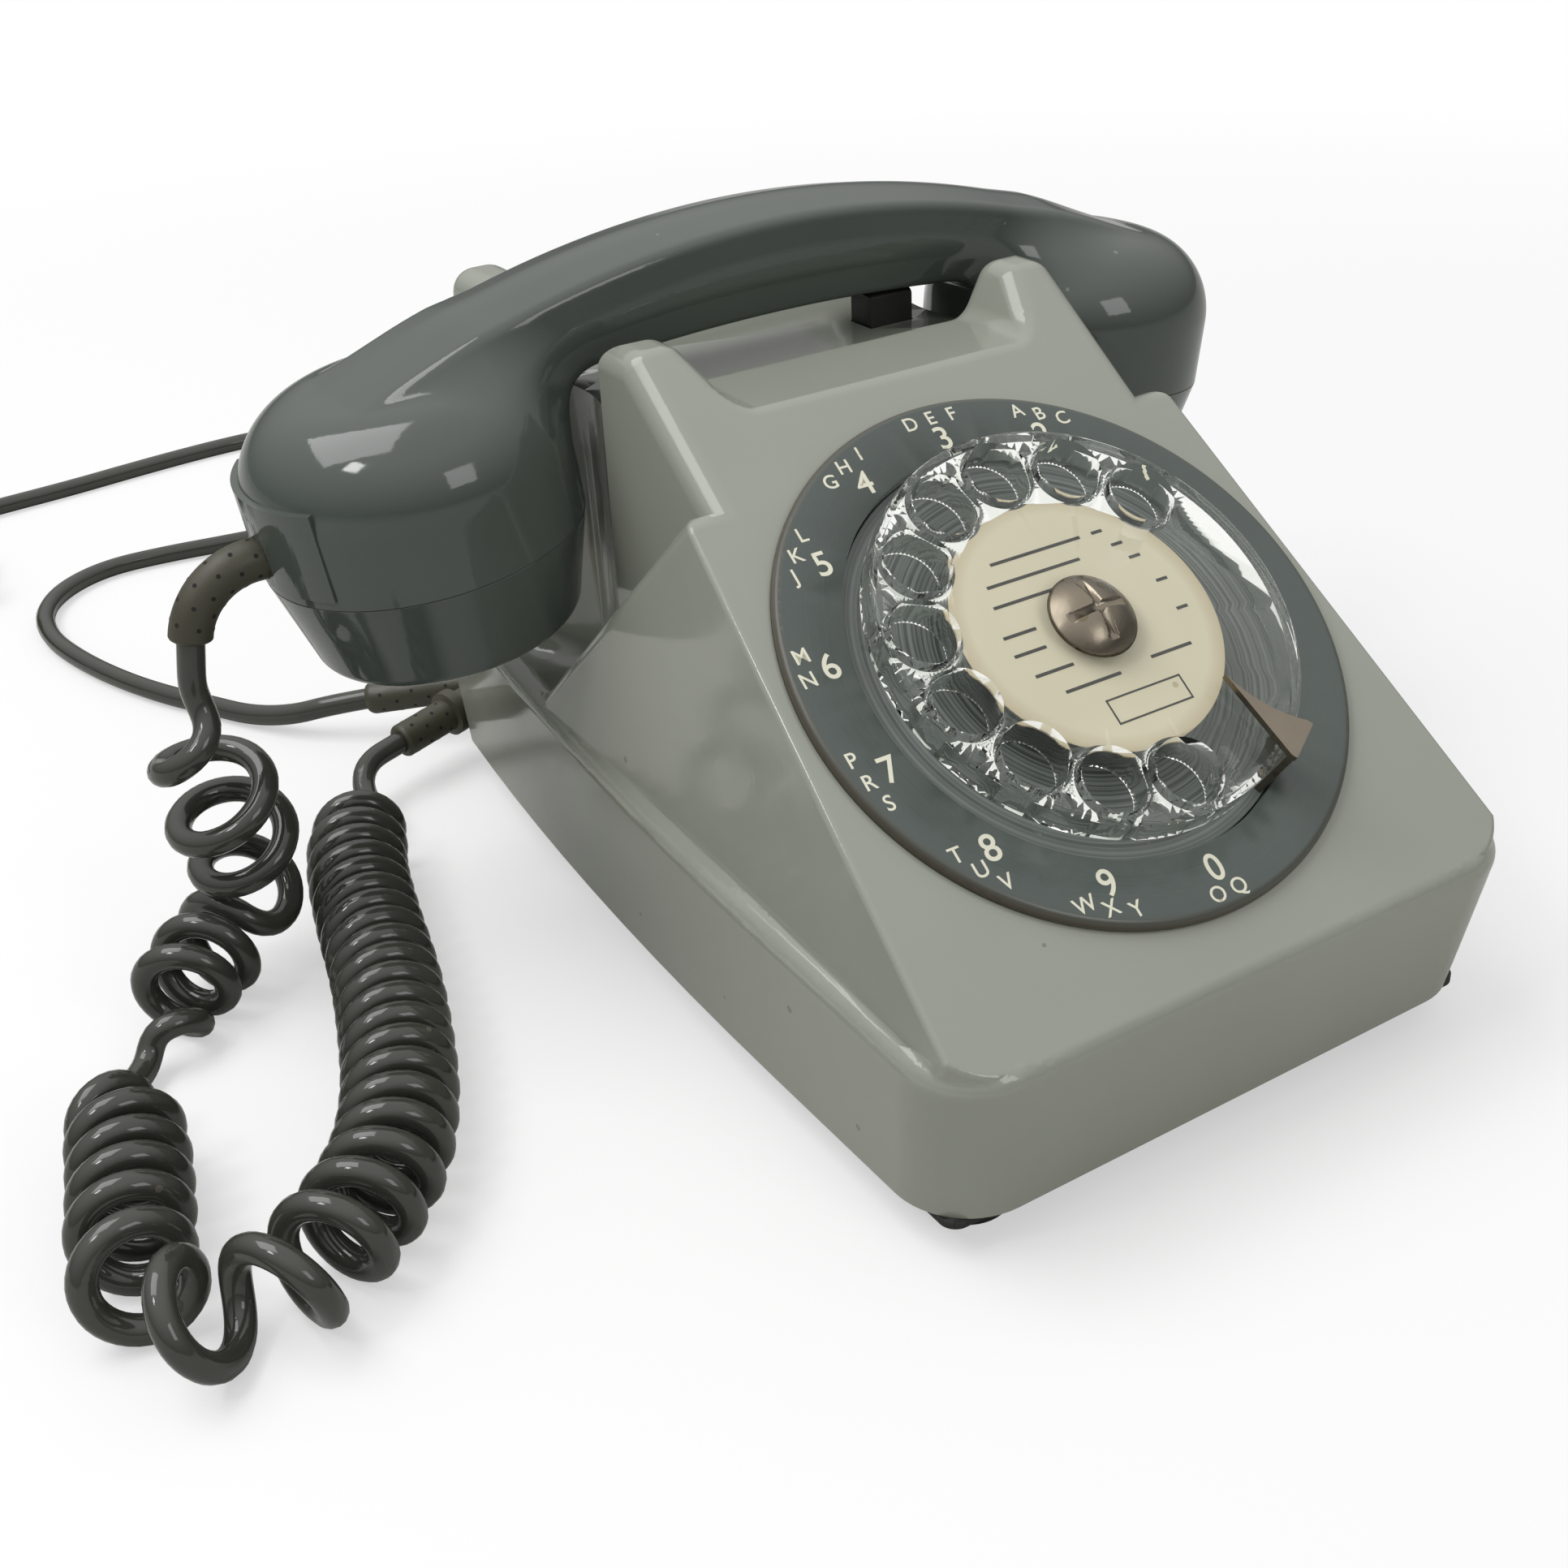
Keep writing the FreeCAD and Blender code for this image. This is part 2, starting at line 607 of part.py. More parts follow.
def make_housing():
    low = FOOT_HEIGHT
    skirt = skirt_form(0, low)
    top_face = max(skirt.Faces, key=lambda face: face.CenterOfMass.z)
    skirt = skirt.makeFillet(RIDGE_R, top_face.Edges)
    shoulder = round_shoulder(shoulder_form(0, RIDGE_Z - 2 * RIDGE_R))
    scoops = [bowl_scoop(0), mirror_x(bowl_scoop(0))]
    cradle_low = RIDGE_Z + RIDGE_R
    cradle = cradle_form(cradle_low).cut(scoops)
    outer = skirt.fuse([shoulder, cradle])
    inner_scoops = [bowl_scoop(WALL), mirror_x(bowl_scoop(WALL))]
    room = skirt_form(WALL, low - 1)
    cradle_room = cradle_hollow(cradle_low).cut(inner_scoops)
    room = room.fuse([shoulder_form(WALL, RIDGE_Z - 2 * RIDGE_R), cradle_room])
    shell = outer.cut(room)
    bosses = [cylinder(BOSS_R, PLATE_TOP, DISH_Z, x, y).common(outer) for x, y in foot_places()]
    shell = shell.fuse(bosses)
    pilot_top = PLATE_TOP + SCREW_GRIP + 1
    pilots = [cylinder(SCREW_R + RUNNING_FIT, low, pilot_top, x, y) for x, y in foot_places()]
    dial_hole = on_dial(cylinder(RING_SPIGOT_R + FIT, -WALL * 3, WALL * 3))
    slot = plunger_block(FIT, TROUGH_Z - 2 * WALL, TROUGH_Z + WALL)
    return shell.cut(pilots + [dial_hole, slot, mirror_x(slot), line_boot(FIT), curly_boot(FIT)])


def make_base_plate():
    plate = skirt_column(WALL + FIT, FOOT_HEIGHT, RIDGE_Z)
    plate = plate.common(box(vec(-REACH, -REACH, FOOT_HEIGHT), vec(REACH, REACH, PLATE_TOP)))
    return plate.cut([cylinder(SCREW_R + FIT, 0, PLATE_TOP + 1, x, y) for x, y in foot_places()])


def make_feet():
    feet = []
    half = FOOT_FLANGE / 2
    flange_low = FOOT_HEIGHT - FOOT_FLANGE_T
    for x, y in foot_places():
        flange = box(vec(x - half, y - half, flange_low), vec(x + half, y + half, FOOT_HEIGHT))
        uprights = [edge for edge in flange.Edges if edge.BoundBox.ZLength > FOOT_FLANGE_T / 2]
        flange = flange.makeFillet(FOOT_CORNER_R, uprights)
        stem = cone_along(vec(x, y, 0), vec(x, y, flange_low), FOOT_BOTTOM_R, FOOT_TOP_R)
        foot = flange.fuse(stem).cut(cylinder(SCREW_R + FIT, -1, FOOT_HEIGHT + 1, x, y))
        feet.append(foot.cut(cylinder(SCREW_HEAD_R + FIT, -1, FOOT_WEB_Z, x, y)))
    return Part.makeCompound(feet)


def make_foot_screws():
    screws = []
    for x, y in foot_places():
        head = cylinder(SCREW_HEAD_R, FOOT_WEB_Z - SCREW_HEAD_T, FOOT_WEB_Z, x, y)
        slot_half = vec(SCREW_HEAD_R + 1, SCREW_SLOT / 2, 0)
        middle = vec(x, y, FOOT_WEB_Z - SCREW_HEAD_T)
        slot = box(middle - slot_half - vec(0, 0, 1), middle + slot_half + vec(0, 0, SCREW_HEAD_T / 2))
        screws.append(head.cut(slot).fuse(cylinder(SCREW_R, FOOT_WEB_Z, PLATE_TOP + SCREW_GRIP, x, y)))
    return Part.makeCompound(screws)


def finger_hole_places():
    """Finger holes 1 to 9 and 0, anticlockwise, with the third one at the top."""
    angles = [90 + (index - 2) * FINGER_HOLE_STEP for index in range(FINGER_HOLES)]
    return [polar(FINGER_HOLE_PITCH_R, angle) for angle in angles]


def make_number_ring():
    ledge = RING_BORE_R - RING_LEDGE
    return turned_polygon([(RING_BORE_R, RING_T, 0), (RING_R, RING_T, RING_EDGE_R), (RING_R, 0, 0),
                           (RING_SPIGOT_R, 0, 0), (RING_SPIGOT_R, -RING_SPIGOT_T, 0),
                           (ledge, -RING_SPIGOT_T, 0), (ledge, -BED_T, 0), (RING_BORE_R, -BED_T, 0)])


def make_dial_bed():
    return ring(RING_BORE_R - FIT, SHAFT_R + FIT, -BED_T, 0)


def make_finger_wheel():
    hole = CENTRE_SCREW_SHANK_R + FIT
    under = WHEEL_TOP - WHEEL_T
    rim = WHEEL_TOP - WHEEL_RIM_DEPTH
    inner = WHEEL_R - WHEEL_RIM_T
    wheel = turned_polygon([(hole, WHEEL_TOP, 0), (WHEEL_R, WHEEL_TOP, WHEEL_EDGE_R), (WHEEL_R, rim, 0),
                            (inner, rim, 0), (inner, under, 0), (hole, under, 0)])
    collars = []
    holes = []
    for place in finger_hole_places():
        low = WHEEL_TOP - FINGER_HOLE_DEPTH
        collars.append(cylinder(FINGER_HOLE_R + FINGER_HOLE_WALL, low, under, place.x, place.y))
        holes.append(cylinder(FINGER_HOLE_R, low - 1, WHEEL_TOP + 1, place.x, place.y))
    return wheel.fuse(collars).cut(holes)


def card_top():
    return WHEEL_TOP - WHEEL_T


def make_number_card():
    card = ring(CARD_R, CENTRE_SCREW_SHANK_R + FIT, card_top() - CARD_T, card_top())
    reach = FINGER_HOLE_R + FINGER_HOLE_WALL + FIT
    return card.cut([cylinder(reach, 0, WHEEL_TOP, place.x, place.y) for place in finger_hole_places()])


def make_centre_screw():
    dome_r = (CENTRE_SCREW_R ** 2 + CENTRE_SCREW_DOME ** 2) / (2 * CENTRE_SCREW_DOME)
    top = WHEEL_TOP + CENTRE_SCREW_DOME
    dome = Part.makeSphere(dome_r, vec(0, 0, top - dome_r))
    head = dome.common(cylinder(CENTRE_SCREW_R, WHEEL_TOP, top + 1))
    for long_x, long_y in ((CENTRE_SCREW_R, SCREW_SLOT / 2), (SCREW_SLOT / 2, CENTRE_SCREW_R)):
        head = head.cut(box(vec(-long_x, -long_y, top - SCREW_SLOT_DEPTH), vec(long_x, long_y, top + 1)))
    return head.fuse(cylinder(CENTRE_SCREW_SHANK_R, WHEEL_TOP - CENTRE_SCREW_SHANK, WHEEL_TOP))


def make_dial_shaft():
    hub_top = card_top() - CARD_T
    shaft = cylinder(SHAFT_R, GEAR_LOW - GEAR_GAP, hub_top)
    hub = cylinder(HUB_R, hub_top - HUB_T, hub_top)
    tapped = cylinder(CENTRE_SCREW_SHANK_R + RUNNING_FIT, WHEEL_TOP - CENTRE_SCREW_SHANK - 1, hub_top + 1)
    return shaft.fuse(hub).cut(tapped)


def make_finger_stop():
    """Bent metal stop: a tapering fin over the finger wheel on an upright outside its rim."""
    low = WHEEL_TOP + STOP_GAP
    inner = (WHEEL_R + RING_BORE_R - STOP_T) / 2
    outer = inner + STOP_T
    tip = polar(STOP_TIP_R, STOP_TIP_ANGLE, low)
    along = polar(1, STOP_ANGLE)
    across = polar(1, STOP_ANGLE + 90)
    near = along * inner + vec(0, 0, low)
    root_a = near - across * (STOP_WIDTH / 2)
    root_b = near + across * (STOP_WIDTH / 2)
    bow = (tip + root_b) * 0.5 - across * (STOP_WIDTH / 6)
    end_a = root_a + along * STOP_T
    end_b = root_b + along * STOP_T
    fin = Part.Wire([line(tip, root_a), line(root_a, end_a), line(end_a, end_b), line(end_b, root_b),
                     Part.Arc(root_b, bow, tip).toShape()])
    fin = Part.Face(fin).extrude(vec(0, 0, STOP_T))
    upright = ring(outer, inner, 0, low + STOP_T)
    wide = math.degrees(STOP_WIDTH / inner) / 2
    sector = polygon_face([vec(0, 0, -1), polar(2 * outer, STOP_ANGLE - wide, -1),
                           polar(2 * outer, STOP_ANGLE + wide, -1)])
    return upright.common(sector.extrude(vec(0, 0, 2 * WHEEL_TOP))).fuse(fin)


FRAME_TOP = -RING_SPIGOT_T - POST_LENGTH
FRAME_LOW = FRAME_TOP - FRAME_T
GEAR_TOP = FRAME_LOW - BUSH_RISE / 2 - GEAR_GAP
GEAR_LOW = GEAR_TOP - GEAR_T
PINION_R = GEAR_MODULE * PINION_TEETH / 2
MAIN_R = GEAR_MODULE * MAIN_TEETH / 2
PINION_PLACE = polar(MAIN_R + PINION_R, PINION_ANGLE)


def make_dial_frame():
    """Round plate behind the dial, hung on posts, with the bearing bush of the shaft."""
    frame = cylinder(FRAME_R, FRAME_LOW, FRAME_TOP)
    post_pitch = RING_SPIGOT_R - POST_INSET
    for index in range(POSTS):
        place = polar(post_pitch, PINION_ANGLE + 60 + index * 360 / POSTS)
        frame = frame.fuse(cylinder(POST_R, FRAME_TOP, -RING_SPIGOT_T, place.x, place.y))
        window = polar(WINDOW_PITCH_R, PINION_ANGLE + 60 + index * 360 / POSTS)
        frame = frame.cut(cylinder(WINDOW_R, FRAME_LOW - 1, FRAME_TOP + 1, window.x, window.y))
    frame = frame.fuse(cylinder(BUSH_R, FRAME_LOW - BUSH_RISE / 2, FRAME_TOP + BUSH_RISE))
    frame = frame.cut(cylinder(SHAFT_R + RUNNING_FIT, GEAR_LOW, 0))
    pinion_bore = cylinder(PINION_SHAFT_R + RUNNING_FIT, FRAME_LOW - 1, FRAME_TOP + 1)
    pinion_bore.translate(PINION_PLACE)
    return frame.cut(pinion_bore)


def make_spring_barrel():
    return ring(SPRING_BARREL_R, BUSH_R + FIT, FRAME_TOP, FRAME_TOP + SPRING_BARREL_T)


def gear_blank(teeth, first_angle, low, high):
    """Spur gear with straight-sided teeth, one of them standing at the first angle."""
    pitch_r = GEAR_MODULE * teeth / 2
    root_r = pitch_r - GEAR_DEDENDUM * GEAR_MODULE
    tip_r = pitch_r + GEAR_ADDENDUM * GEAR_MODULE
    step = 360.0 / teeth
    points = []
    for index in range(teeth):
        middle = first_angle + index * step
        points.append(polar(root_r, middle - TOOTH_ROOT_SHARE * step, low))
        points.append(polar(tip_r, middle - TOOTH_TIP_SHARE * step, low))
        points.append(polar(tip_r, middle + TOOTH_TIP_SHARE * step, low))
        points.append(polar(root_r, middle + TOOTH_ROOT_SHARE * step, low))
    return polygon_face(points).extrude(vec(0, 0, high - low))


def make_main_gear():
    gear = gear_blank(MAIN_TEETH, PINION_ANGLE + 180.0 / MAIN_TEETH, GEAR_LOW, GEAR_TOP)
    return gear.cut(cylinder(SHAFT_R + RUNNING_FIT, GEAR_LOW - 1, GEAR_TOP + 1))


def make_pinion():
    pinion = gear_blank(PINION_TEETH, PINION_ANGLE + 180, GEAR_LOW, GEAR_TOP)
    low = GEAR_LOW - CAM_T - GOVERNOR_T - 2 * GEAR_GAP
    pinion = pinion.fuse(cylinder(PINION_SHAFT_R, low, FRAME_TOP))
    pinion.translate(PINION_PLACE)
    return pinion


def make_pulse_cam():
    high = GEAR_LOW - GEAR_GAP
    lobes = cylinder(CAM_R, high - CAM_T, high).common(
        box(vec(-CAM_R, -CAM_R / 2, high - CAM_T), vec(CAM_R, CAM_R / 2, high)))
    cam = lobes.cut(cylinder(PINION_SHAFT_R + RUNNING_FIT, high - CAM_T - 1, high + 1))
    cam.translate(PINION_PLACE)
    return cam


def make_governor():
    """Speed governor: two curved weights on a disc."""
    high = GEAR_LOW - CAM_T - 2 * GEAR_GAP
    low = high - GOVERNOR_T
    disc_low = high - GOVERNOR_T / 3
    disc = cylinder(GOVERNOR_R, disc_low, high)
    weights = ring(GOVERNOR_R, GOVERNOR_WEIGHT_INNER_R, low, disc_low)
    weights = weights.cut(box(vec(-GOVERNOR_R, -SCREW_SLOT, low - 1), vec(GOVERNOR_R, SCREW_SLOT, disc_low)))
    governor = disc.fuse(weights).cut(cylinder(PINION_SHAFT_R + RUNNING_FIT, low - 1, high + 1))
    governor.translate(PINION_PLACE)
    return governor


def make_pulse_contacts():
    """Contact block under the dial frame, with two blades beside the pulse cam."""
    length, width, height = PULSE_BLOCK
    left = PINION_PLACE.x + PINION_R + GEAR_MODULE * 2 + FIT
    low = FRAME_LOW - height
    block = box(vec(left, PINION_PLACE.y - width / 2, low),
                vec(left + length, PINION_PLACE.y + width / 2, FRAME_LOW))
    cam_high = GEAR_LOW - GEAR_GAP
    for side in (-1, 1):
        y = PINION_PLACE.y + side * width / 4
        blade = box(vec(PINION_PLACE.x + CAM_R + FIT, y, cam_high - CAM_T),
                    vec(left + length / 2, y + PULSE_BLADE_T, cam_high))
        riser = box(vec(left + FIT, y, cam_high - CAM_T),
                    vec(left + length / 2, y + PULSE_BLADE_T, low + 1))
        block = block.fuse([blade, riser])
    return block


def handle_under_z(x):
    return ARCH_UNDER_Z - x * x / (2 * ARCH_UNDER_R)


PLUNGER_TOP_Z = handle_under_z(PLUNGER_X + PLUNGER_LENGTH / 2) - FIT
BAR_TOP_Z = TROUGH_Z - WALL - PLUNGER_TRAVEL - HOOK_BAR_ROOM
BAR_LOW_Z = BAR_TOP_Z - HOOK_BAR_T


def make_plunger():
    plunger = plunger_block(0, BAR_TOP_Z, PLUNGER_TOP_Z)
    top = max(plunger.Faces, key=lambda face: face.CenterOfMass.z)
    return plunger.makeFillet(PLUNGER_TOP_R, top.Edges)


def make_hook_bar():
    half = PLUNGER_X + PLUNGER_LENGTH / 2
    wide = HOOK_BAR_WIDTH / 2
    bar = box(vec(-half, HANDSET_Y - wide, BAR_LOW_Z), vec(half, HANDSET_Y + wide, BAR_TOP_Z))
    for side in (-1, 1):
        guide_x = side * GUIDE_X
        bar = bar.cut(cylinder(GUIDE_R + RUNNING_FIT, BAR_LOW_Z - 1, BAR_TOP_Z + 1, guide_x, HANDSET_Y))
    stud_low = BAR_LOW_Z - HOOK_STUD_LENGTH
    return bar.fuse(cylinder(HOOK_STUD_R, stud_low, BAR_LOW_Z, HOOK_STUD_X, HANDSET_Y))


def make_chassis():
    """Bracket on the base plate: a foot, an upright and a shelf with the guide pins of the hook bar."""
    wide = CHASSIS_HALF_WIDTH
    shelf_low = CHASSIS_SHELF_Z - CHASSIS_T
    foot = box(vec(-wide, CHASSIS_Y - CHASSIS_FOOT, PLATE_TOP), vec(wide, CHASSIS_Y, PLATE_TOP + CHASSIS_T))
    upright = box(vec(-wide, CHASSIS_Y, PLATE_TOP), vec(wide, CHASSIS_Y + CHASSIS_T, CHASSIS_SHELF_Z))
    shelf_back = CHASSIS_Y + CHASSIS_SHELF_DEPTH
    shelf = box(vec(-wide, CHASSIS_Y, shelf_low), vec(wide, shelf_back, CHASSIS_SHELF_Z))
    guide_top = BAR_TOP_Z + PLUNGER_TRAVEL + FIT
    pins = [cylinder(GUIDE_R, CHASSIS_SHELF_Z, guide_top, side * GUIDE_X, HANDSET_Y) for side in (-1, 1)]
    return upright.fuse([foot, shelf] + pins).removeSplitter()


def make_hook_spring():
    inner = HOOK_SPRING_R - HOOK_SPRING_WIRE
    return ring(HOOK_SPRING_R, inner, CHASSIS_SHELF_Z, BAR_LOW_Z, HOOK_SPRING_X, HANDSET_Y)


def make_hook_contacts():
    """Block on the shelf with a row of contact blades that stand beside the stud of the hook bar."""
    half = CONTACT_BLOCK_SIZE / 2
    middle = vec(CONTACT_BLOCK_X, HANDSET_Y, CHASSIS_SHELF_Z)
    block = box(middle - vec(half, half, 0), middle + vec(half, half, CONTACT_BLOCK_SIZE))
    blade_top = BAR_LOW_Z - FIT
    gap = CONTACT_BLOCK_SIZE / CONTACT_BLADES
    for index in range(CONTACT_BLADES):
        x = CONTACT_BLOCK_X - half + (index + 0.5) * gap
        block = block.fuse(box(vec(x, HANDSET_Y - half / 2, CHASSIS_SHELF_Z + half),
                               vec(x + CONTACT_BLADE_T, HANDSET_Y + half / 2, blade_top)))
    return block


GONG_X = GONG_R + CLAPPER_BALL_R + CLAPPER_GAP


def make_gong(side):
    hole = SCREW_R + FIT
    inner = GONG_R - GONG_WALL
    under = GONG_TOP_Z - GONG_WALL
    gong = turned_polygon([(hole, GONG_TOP_Z, 0), (GONG_R, GONG_TOP_Z, GONG_DOME_R),
                           (GONG_R, GONG_RIM_Z, 0), (inner, GONG_RIM_Z, 0),
                           (inner, under, GONG_DOME_R - GONG_WALL), (hole, under, 0)])
    gong.translate(vec(side * GONG_X, GONG_Y, 0))
    return gong


def make_gong_posts():
    posts = []
    for side in (-1, 1):
        top = GONG_TOP_Z - GONG_WALL
        posts.append(ring(GONG_POST_R, SCREW_R + RUNNING_FIT, PLATE_TOP, top, side * GONG_X, GONG_Y))
    return Part.makeCompound(posts)


def make_gong_screws():
    screws = []
    for side in (-1, 1):
        x = side * GONG_X
        head = cylinder(GONG_SCREW_HEAD_R, GONG_TOP_Z, GONG_TOP_Z + SCREW_HEAD_T, x, GONG_Y)
        screws.append(head.fuse(cylinder(SCREW_R, GONG_RIM_Z, GONG_TOP_Z, x, GONG_Y)))
    return Part.makeCompound(screws)


BELL_AXIS_Z = PLATE_TOP + BELL_FRAME_T + BELL_COIL_RISE
BELL_EAR_BACK = CLAPPER_Y - CLAPPER_HUB_R - ARMATURE_GAP
BELL_COIL_BACK = BELL_EAR_BACK - BELL_FRAME_T
BELL_COIL_FRONT = BELL_COIL_BACK - BELL_COIL_LENGTH


def along_y(radius, start, end):
    return Part.makeCylinder(radius, end - start, vec(0, start, BELL_AXIS_Z), vec(0, 1, 0))


def make_ringer_frame():
    """Iron frame of the bell: a base strip, two ears for the coil's core and the clapper's pin."""
    wide = BELL_FRAME_HALF_WIDTH
    low = PLATE_TOP
    top = low + BELL_FRAME_T
    frame = box(vec(-wide, BELL_FRAME_FRONT, low), vec(wide, BELL_FRAME_BACK, top))
    for y in (BELL_COIL_FRONT - BELL_FRAME_T, BELL_COIL_BACK):
        frame = frame.fuse(box(vec(-wide, y, low), vec(wide, y + BELL_FRAME_T, BELL_AXIS_Z + wide)))
    frame = frame.cut(along_y(BELL_CORE_R + RUNNING_FIT, BELL_FRAME_FRONT - 1, BELL_FRAME_BACK + 1))
    pin_top = CLAPPER_Z + CLAPPER_HUB_T / 2 + BELL_FRAME_T
    return frame.fuse(cylinder(CLAPPER_PIN_R, top, pin_top, 0, CLAPPER_Y)).removeSplitter()


def make_ringer_coil():
    core = along_y(BELL_CORE_R, BELL_COIL_FRONT - BELL_FRAME_T, BELL_COIL_BACK + BELL_FRAME_T)
    return core.fuse(along_y(BELL_COIL_R, BELL_COIL_FRONT, BELL_COIL_BACK))


def make_clapper():
    low = CLAPPER_Z - CLAPPER_HUB_T / 2
    high = CLAPPER_Z + CLAPPER_HUB_T / 2
    front = CLAPPER_Y - CLAPPER_HUB_R
    armature = box(vec(-ARMATURE_HALF, front, low), vec(ARMATURE_HALF, front + ARMATURE_T, high))
    rod = Part.makeCylinder(CLAPPER_ROD_R, GONG_Y - CLAPPER_Y, vec(0, CLAPPER_Y, CLAPPER_Z), vec(0, 1, 0))
    ball = Part.makeSphere(CLAPPER_BALL_R, vec(0, GONG_Y, CLAPPER_Z))
    clapper = cylinder(CLAPPER_HUB_R, low, high, 0, CLAPPER_Y).fuse([armature, rod, ball])
    return clapper.cut(cylinder(CLAPPER_PIN_R + RUNNING_FIT, low - 1, high + 1, 0, CLAPPER_Y))


def make_transformer():
    """Speech transformer: a square iron core round a winding."""
    length, width, height = TRANSFORMER
    middle = vec(TRANSFORMER_X, ELECTRIC_Y, PLATE_TOP)
    core = box(middle - vec(length / 2, width / 2, 0), middle + vec(length / 2, width / 2, height))
    bite = TRANSFORMER_WINDOW
    for side in (-1, 1):
        inner = middle + vec(side * length / 4, 0, height / 2)
        half = vec(length / 4 - bite / 2, width, height / 2 - bite / 2)
        core = core.cut(box(inner - half, inner + half))
    winding = vec(length / 2 - bite, width / 2 + bite / 2, height / 2 - bite)
    centre = middle + vec(0, 0, height / 2)
    return core.fuse(box(centre - winding, centre + winding))


def make_capacitor():
    start = vec(CAPACITOR_X, ELECTRIC_Y - CAPACITOR_LENGTH / 2, PLATE_TOP + CAPACITOR_R)
    can = Part.makeCylinder(CAPACITOR_R, CAPACITOR_LENGTH, start, vec(0, 1, 0))
    clip = box(start + vec(-CAPACITOR_R, CAPACITOR_LENGTH / 3, -CAPACITOR_R),
               start + vec(CAPACITOR_R, CAPACITOR_LENGTH * 2 / 3, -CAPACITOR_R / 2))
    return can.fuse(clip)


def terminal_places():
    length = TERMINAL_BLOCK[1]
    start = TERMINAL_Y - length / 2
    return [(TERMINAL_X, start + (index + 0.5) * length / TERMINALS) for index in range(TERMINALS)]


def make_terminal_block():
    width, length, height = TERMINAL_BLOCK
    middle = vec(TERMINAL_X, TERMINAL_Y, PLATE_TOP)
    block = box(middle - vec(width / 2, length / 2, 0), middle + vec(width / 2, length / 2, height))
    top = PLATE_TOP + height
    bore = SCREW_R + RUNNING_FIT
    return block.cut([cylinder(bore, top - height / 2, top + 1, x, y) for x, y in terminal_places()])


def make_terminal_screws():
    top = PLATE_TOP + TERMINAL_BLOCK[2]
    screws = []
    for x, y in terminal_places():
        head = cylinder(TERMINAL_SCREW_R, top, top + TERMINAL_SCREW_T, x, y)
        screws.append(head.fuse(cylinder(SCREW_R, top - TERMINAL_BLOCK[2] / 2, top, x, y)))
    return Part.makeCompound(screws)


def handle_section(x):
    """Cross-section of the handle: a low gable over upright sides and a narrower underside."""
    top = ARCH_TOP_Z - x * x / (2 * ARCH_R)
    under = handle_under_z(x)
    half = [(HANDLE_TOP_HALF, top - HANDLE_ROOF), (HANDLE_SIDE_HALF, top - HANDLE_SIDE_DROP),
            (HANDLE_UNDER_HALF, under)]
    corners = [(0, top)] + half + [(-wide, z) for wide, z in reversed(half)]
    return Part.makePolygon([vec(x, HANDSET_Y + wide, z) for wide, z in corners + corners[:1]])


def make_bowl():
    return turned_polygon([(0, 0, 0), (BOWL_R, 0, 0), (BOWL_R + BOWL_FLARE, BOWL_HEIGHT, BOWL_SHOULDER_R),
                           (0, BOWL_HEIGHT, 0)])


def cord_plate_sector(room):
    """Curved plate let into the outer side of the left bowl, where the cord enters."""
    inner = BOWL_R - CORD_PLATE_DEPTH - room
    plate = ring(BOWL_R + CORD_PLATE_PROUD, inner, CORD_PLATE_LOW - room, CORD_PLATE_HIGH + room)
    half = CORD_PLATE_ANGLE + math.degrees(room / BOWL_R)
    reach = 2 * BOWL_R
    sector = polygon_face([vec(0, 0, 0), polar(reach, 180 - half), polar(reach, 180 + half)])
    return plate.common(sector.extrude(vec(0, 0, BOWL_HEIGHT)))


def make_handset_shell():
    spacing = 2 * HANDLE_END_X / (ARCH_SECTIONS - 1)
    sections = [handle_section(-HANDLE_END_X + index * spacing) for index in range(ARCH_SECTIONS)]
    handle = Part.makeLoft(sections, True, False)
    left = on_bowl(make_bowl())
    shell = handle.fuse([left, mirror_x(left)])
    cavity = on_bowl(cylinder(BOWL_R - BOWL_WALL, -1, BOWL_CAVITY))
    return shell.cut([cavity, mirror_x(cavity), on_bowl(cord_plate_sector(FIT))])


def make_cap():
    """Screwed cap of a bowl: a tapering shell with a spigot and rings of sound holes."""
    floor = CAP_WALL - CAP_HEIGHT
    spigot = BOWL_R - BOWL_WALL - FIT
    inner = spigot - CAP_SPIGOT_T
    cap = turned_polygon([(0, -CAP_HEIGHT, 0), (CAP_END_R, -CAP_HEIGHT, CAP_EDGE_R), (BOWL_R, 0, 0),
                          (spigot, 0, 0), (spigot, CAP_SPIGOT, 0), (inner, CAP_SPIGOT, 0), (inner, 0, 0),
                          (CAP_END_R - CAP_WALL, floor, 0), (0, floor, 0)])
    holes = [cylinder(SOUND_HOLE_R, -CAP_HEIGHT - 1, floor + 1)]
    for count, pitch_r in SOUND_RINGS:
        for index in range(count):
            place = polar(pitch_r, index * 360.0 / count)
            holes.append(cylinder(SOUND_HOLE_R, -CAP_HEIGHT - 1, floor + 1, place.x, place.y))
    return on_bowl(cap.cut(holes))


def make_capsule():
    floor = CAP_WALL - CAP_HEIGHT
    top = floor + CAPSULE_T
    capsule = cylinder(CAPSULE_R, floor, top)
    return on_bowl(capsule.fuse(cylinder(CAPSULE_R / 2, top, top + CAPSULE_NECK)))


def handset_boot_path():
    """Short stub out of the cord plate and a bend downwards, as points on a tangent path."""
    start = bowl_placement().multVec(vec(-BOWL_R - CORD_PLATE_PROUD, 0, HANDSET_BOOT_RISE))
    centre = start + vec(-HANDSET_BOOT_STUB, 0, -HANDSET_BOOT_BEND_R)

    def on_bend(degrees):
        angle = math.radians(degrees)
        return centre + vec(-math.sin(angle), 0, math.cos(angle)) * HANDSET_BOOT_BEND_R

    return start, on_bend(0), on_bend(HANDSET_BOOT_TURN / 2), on_bend(HANDSET_BOOT_TURN)


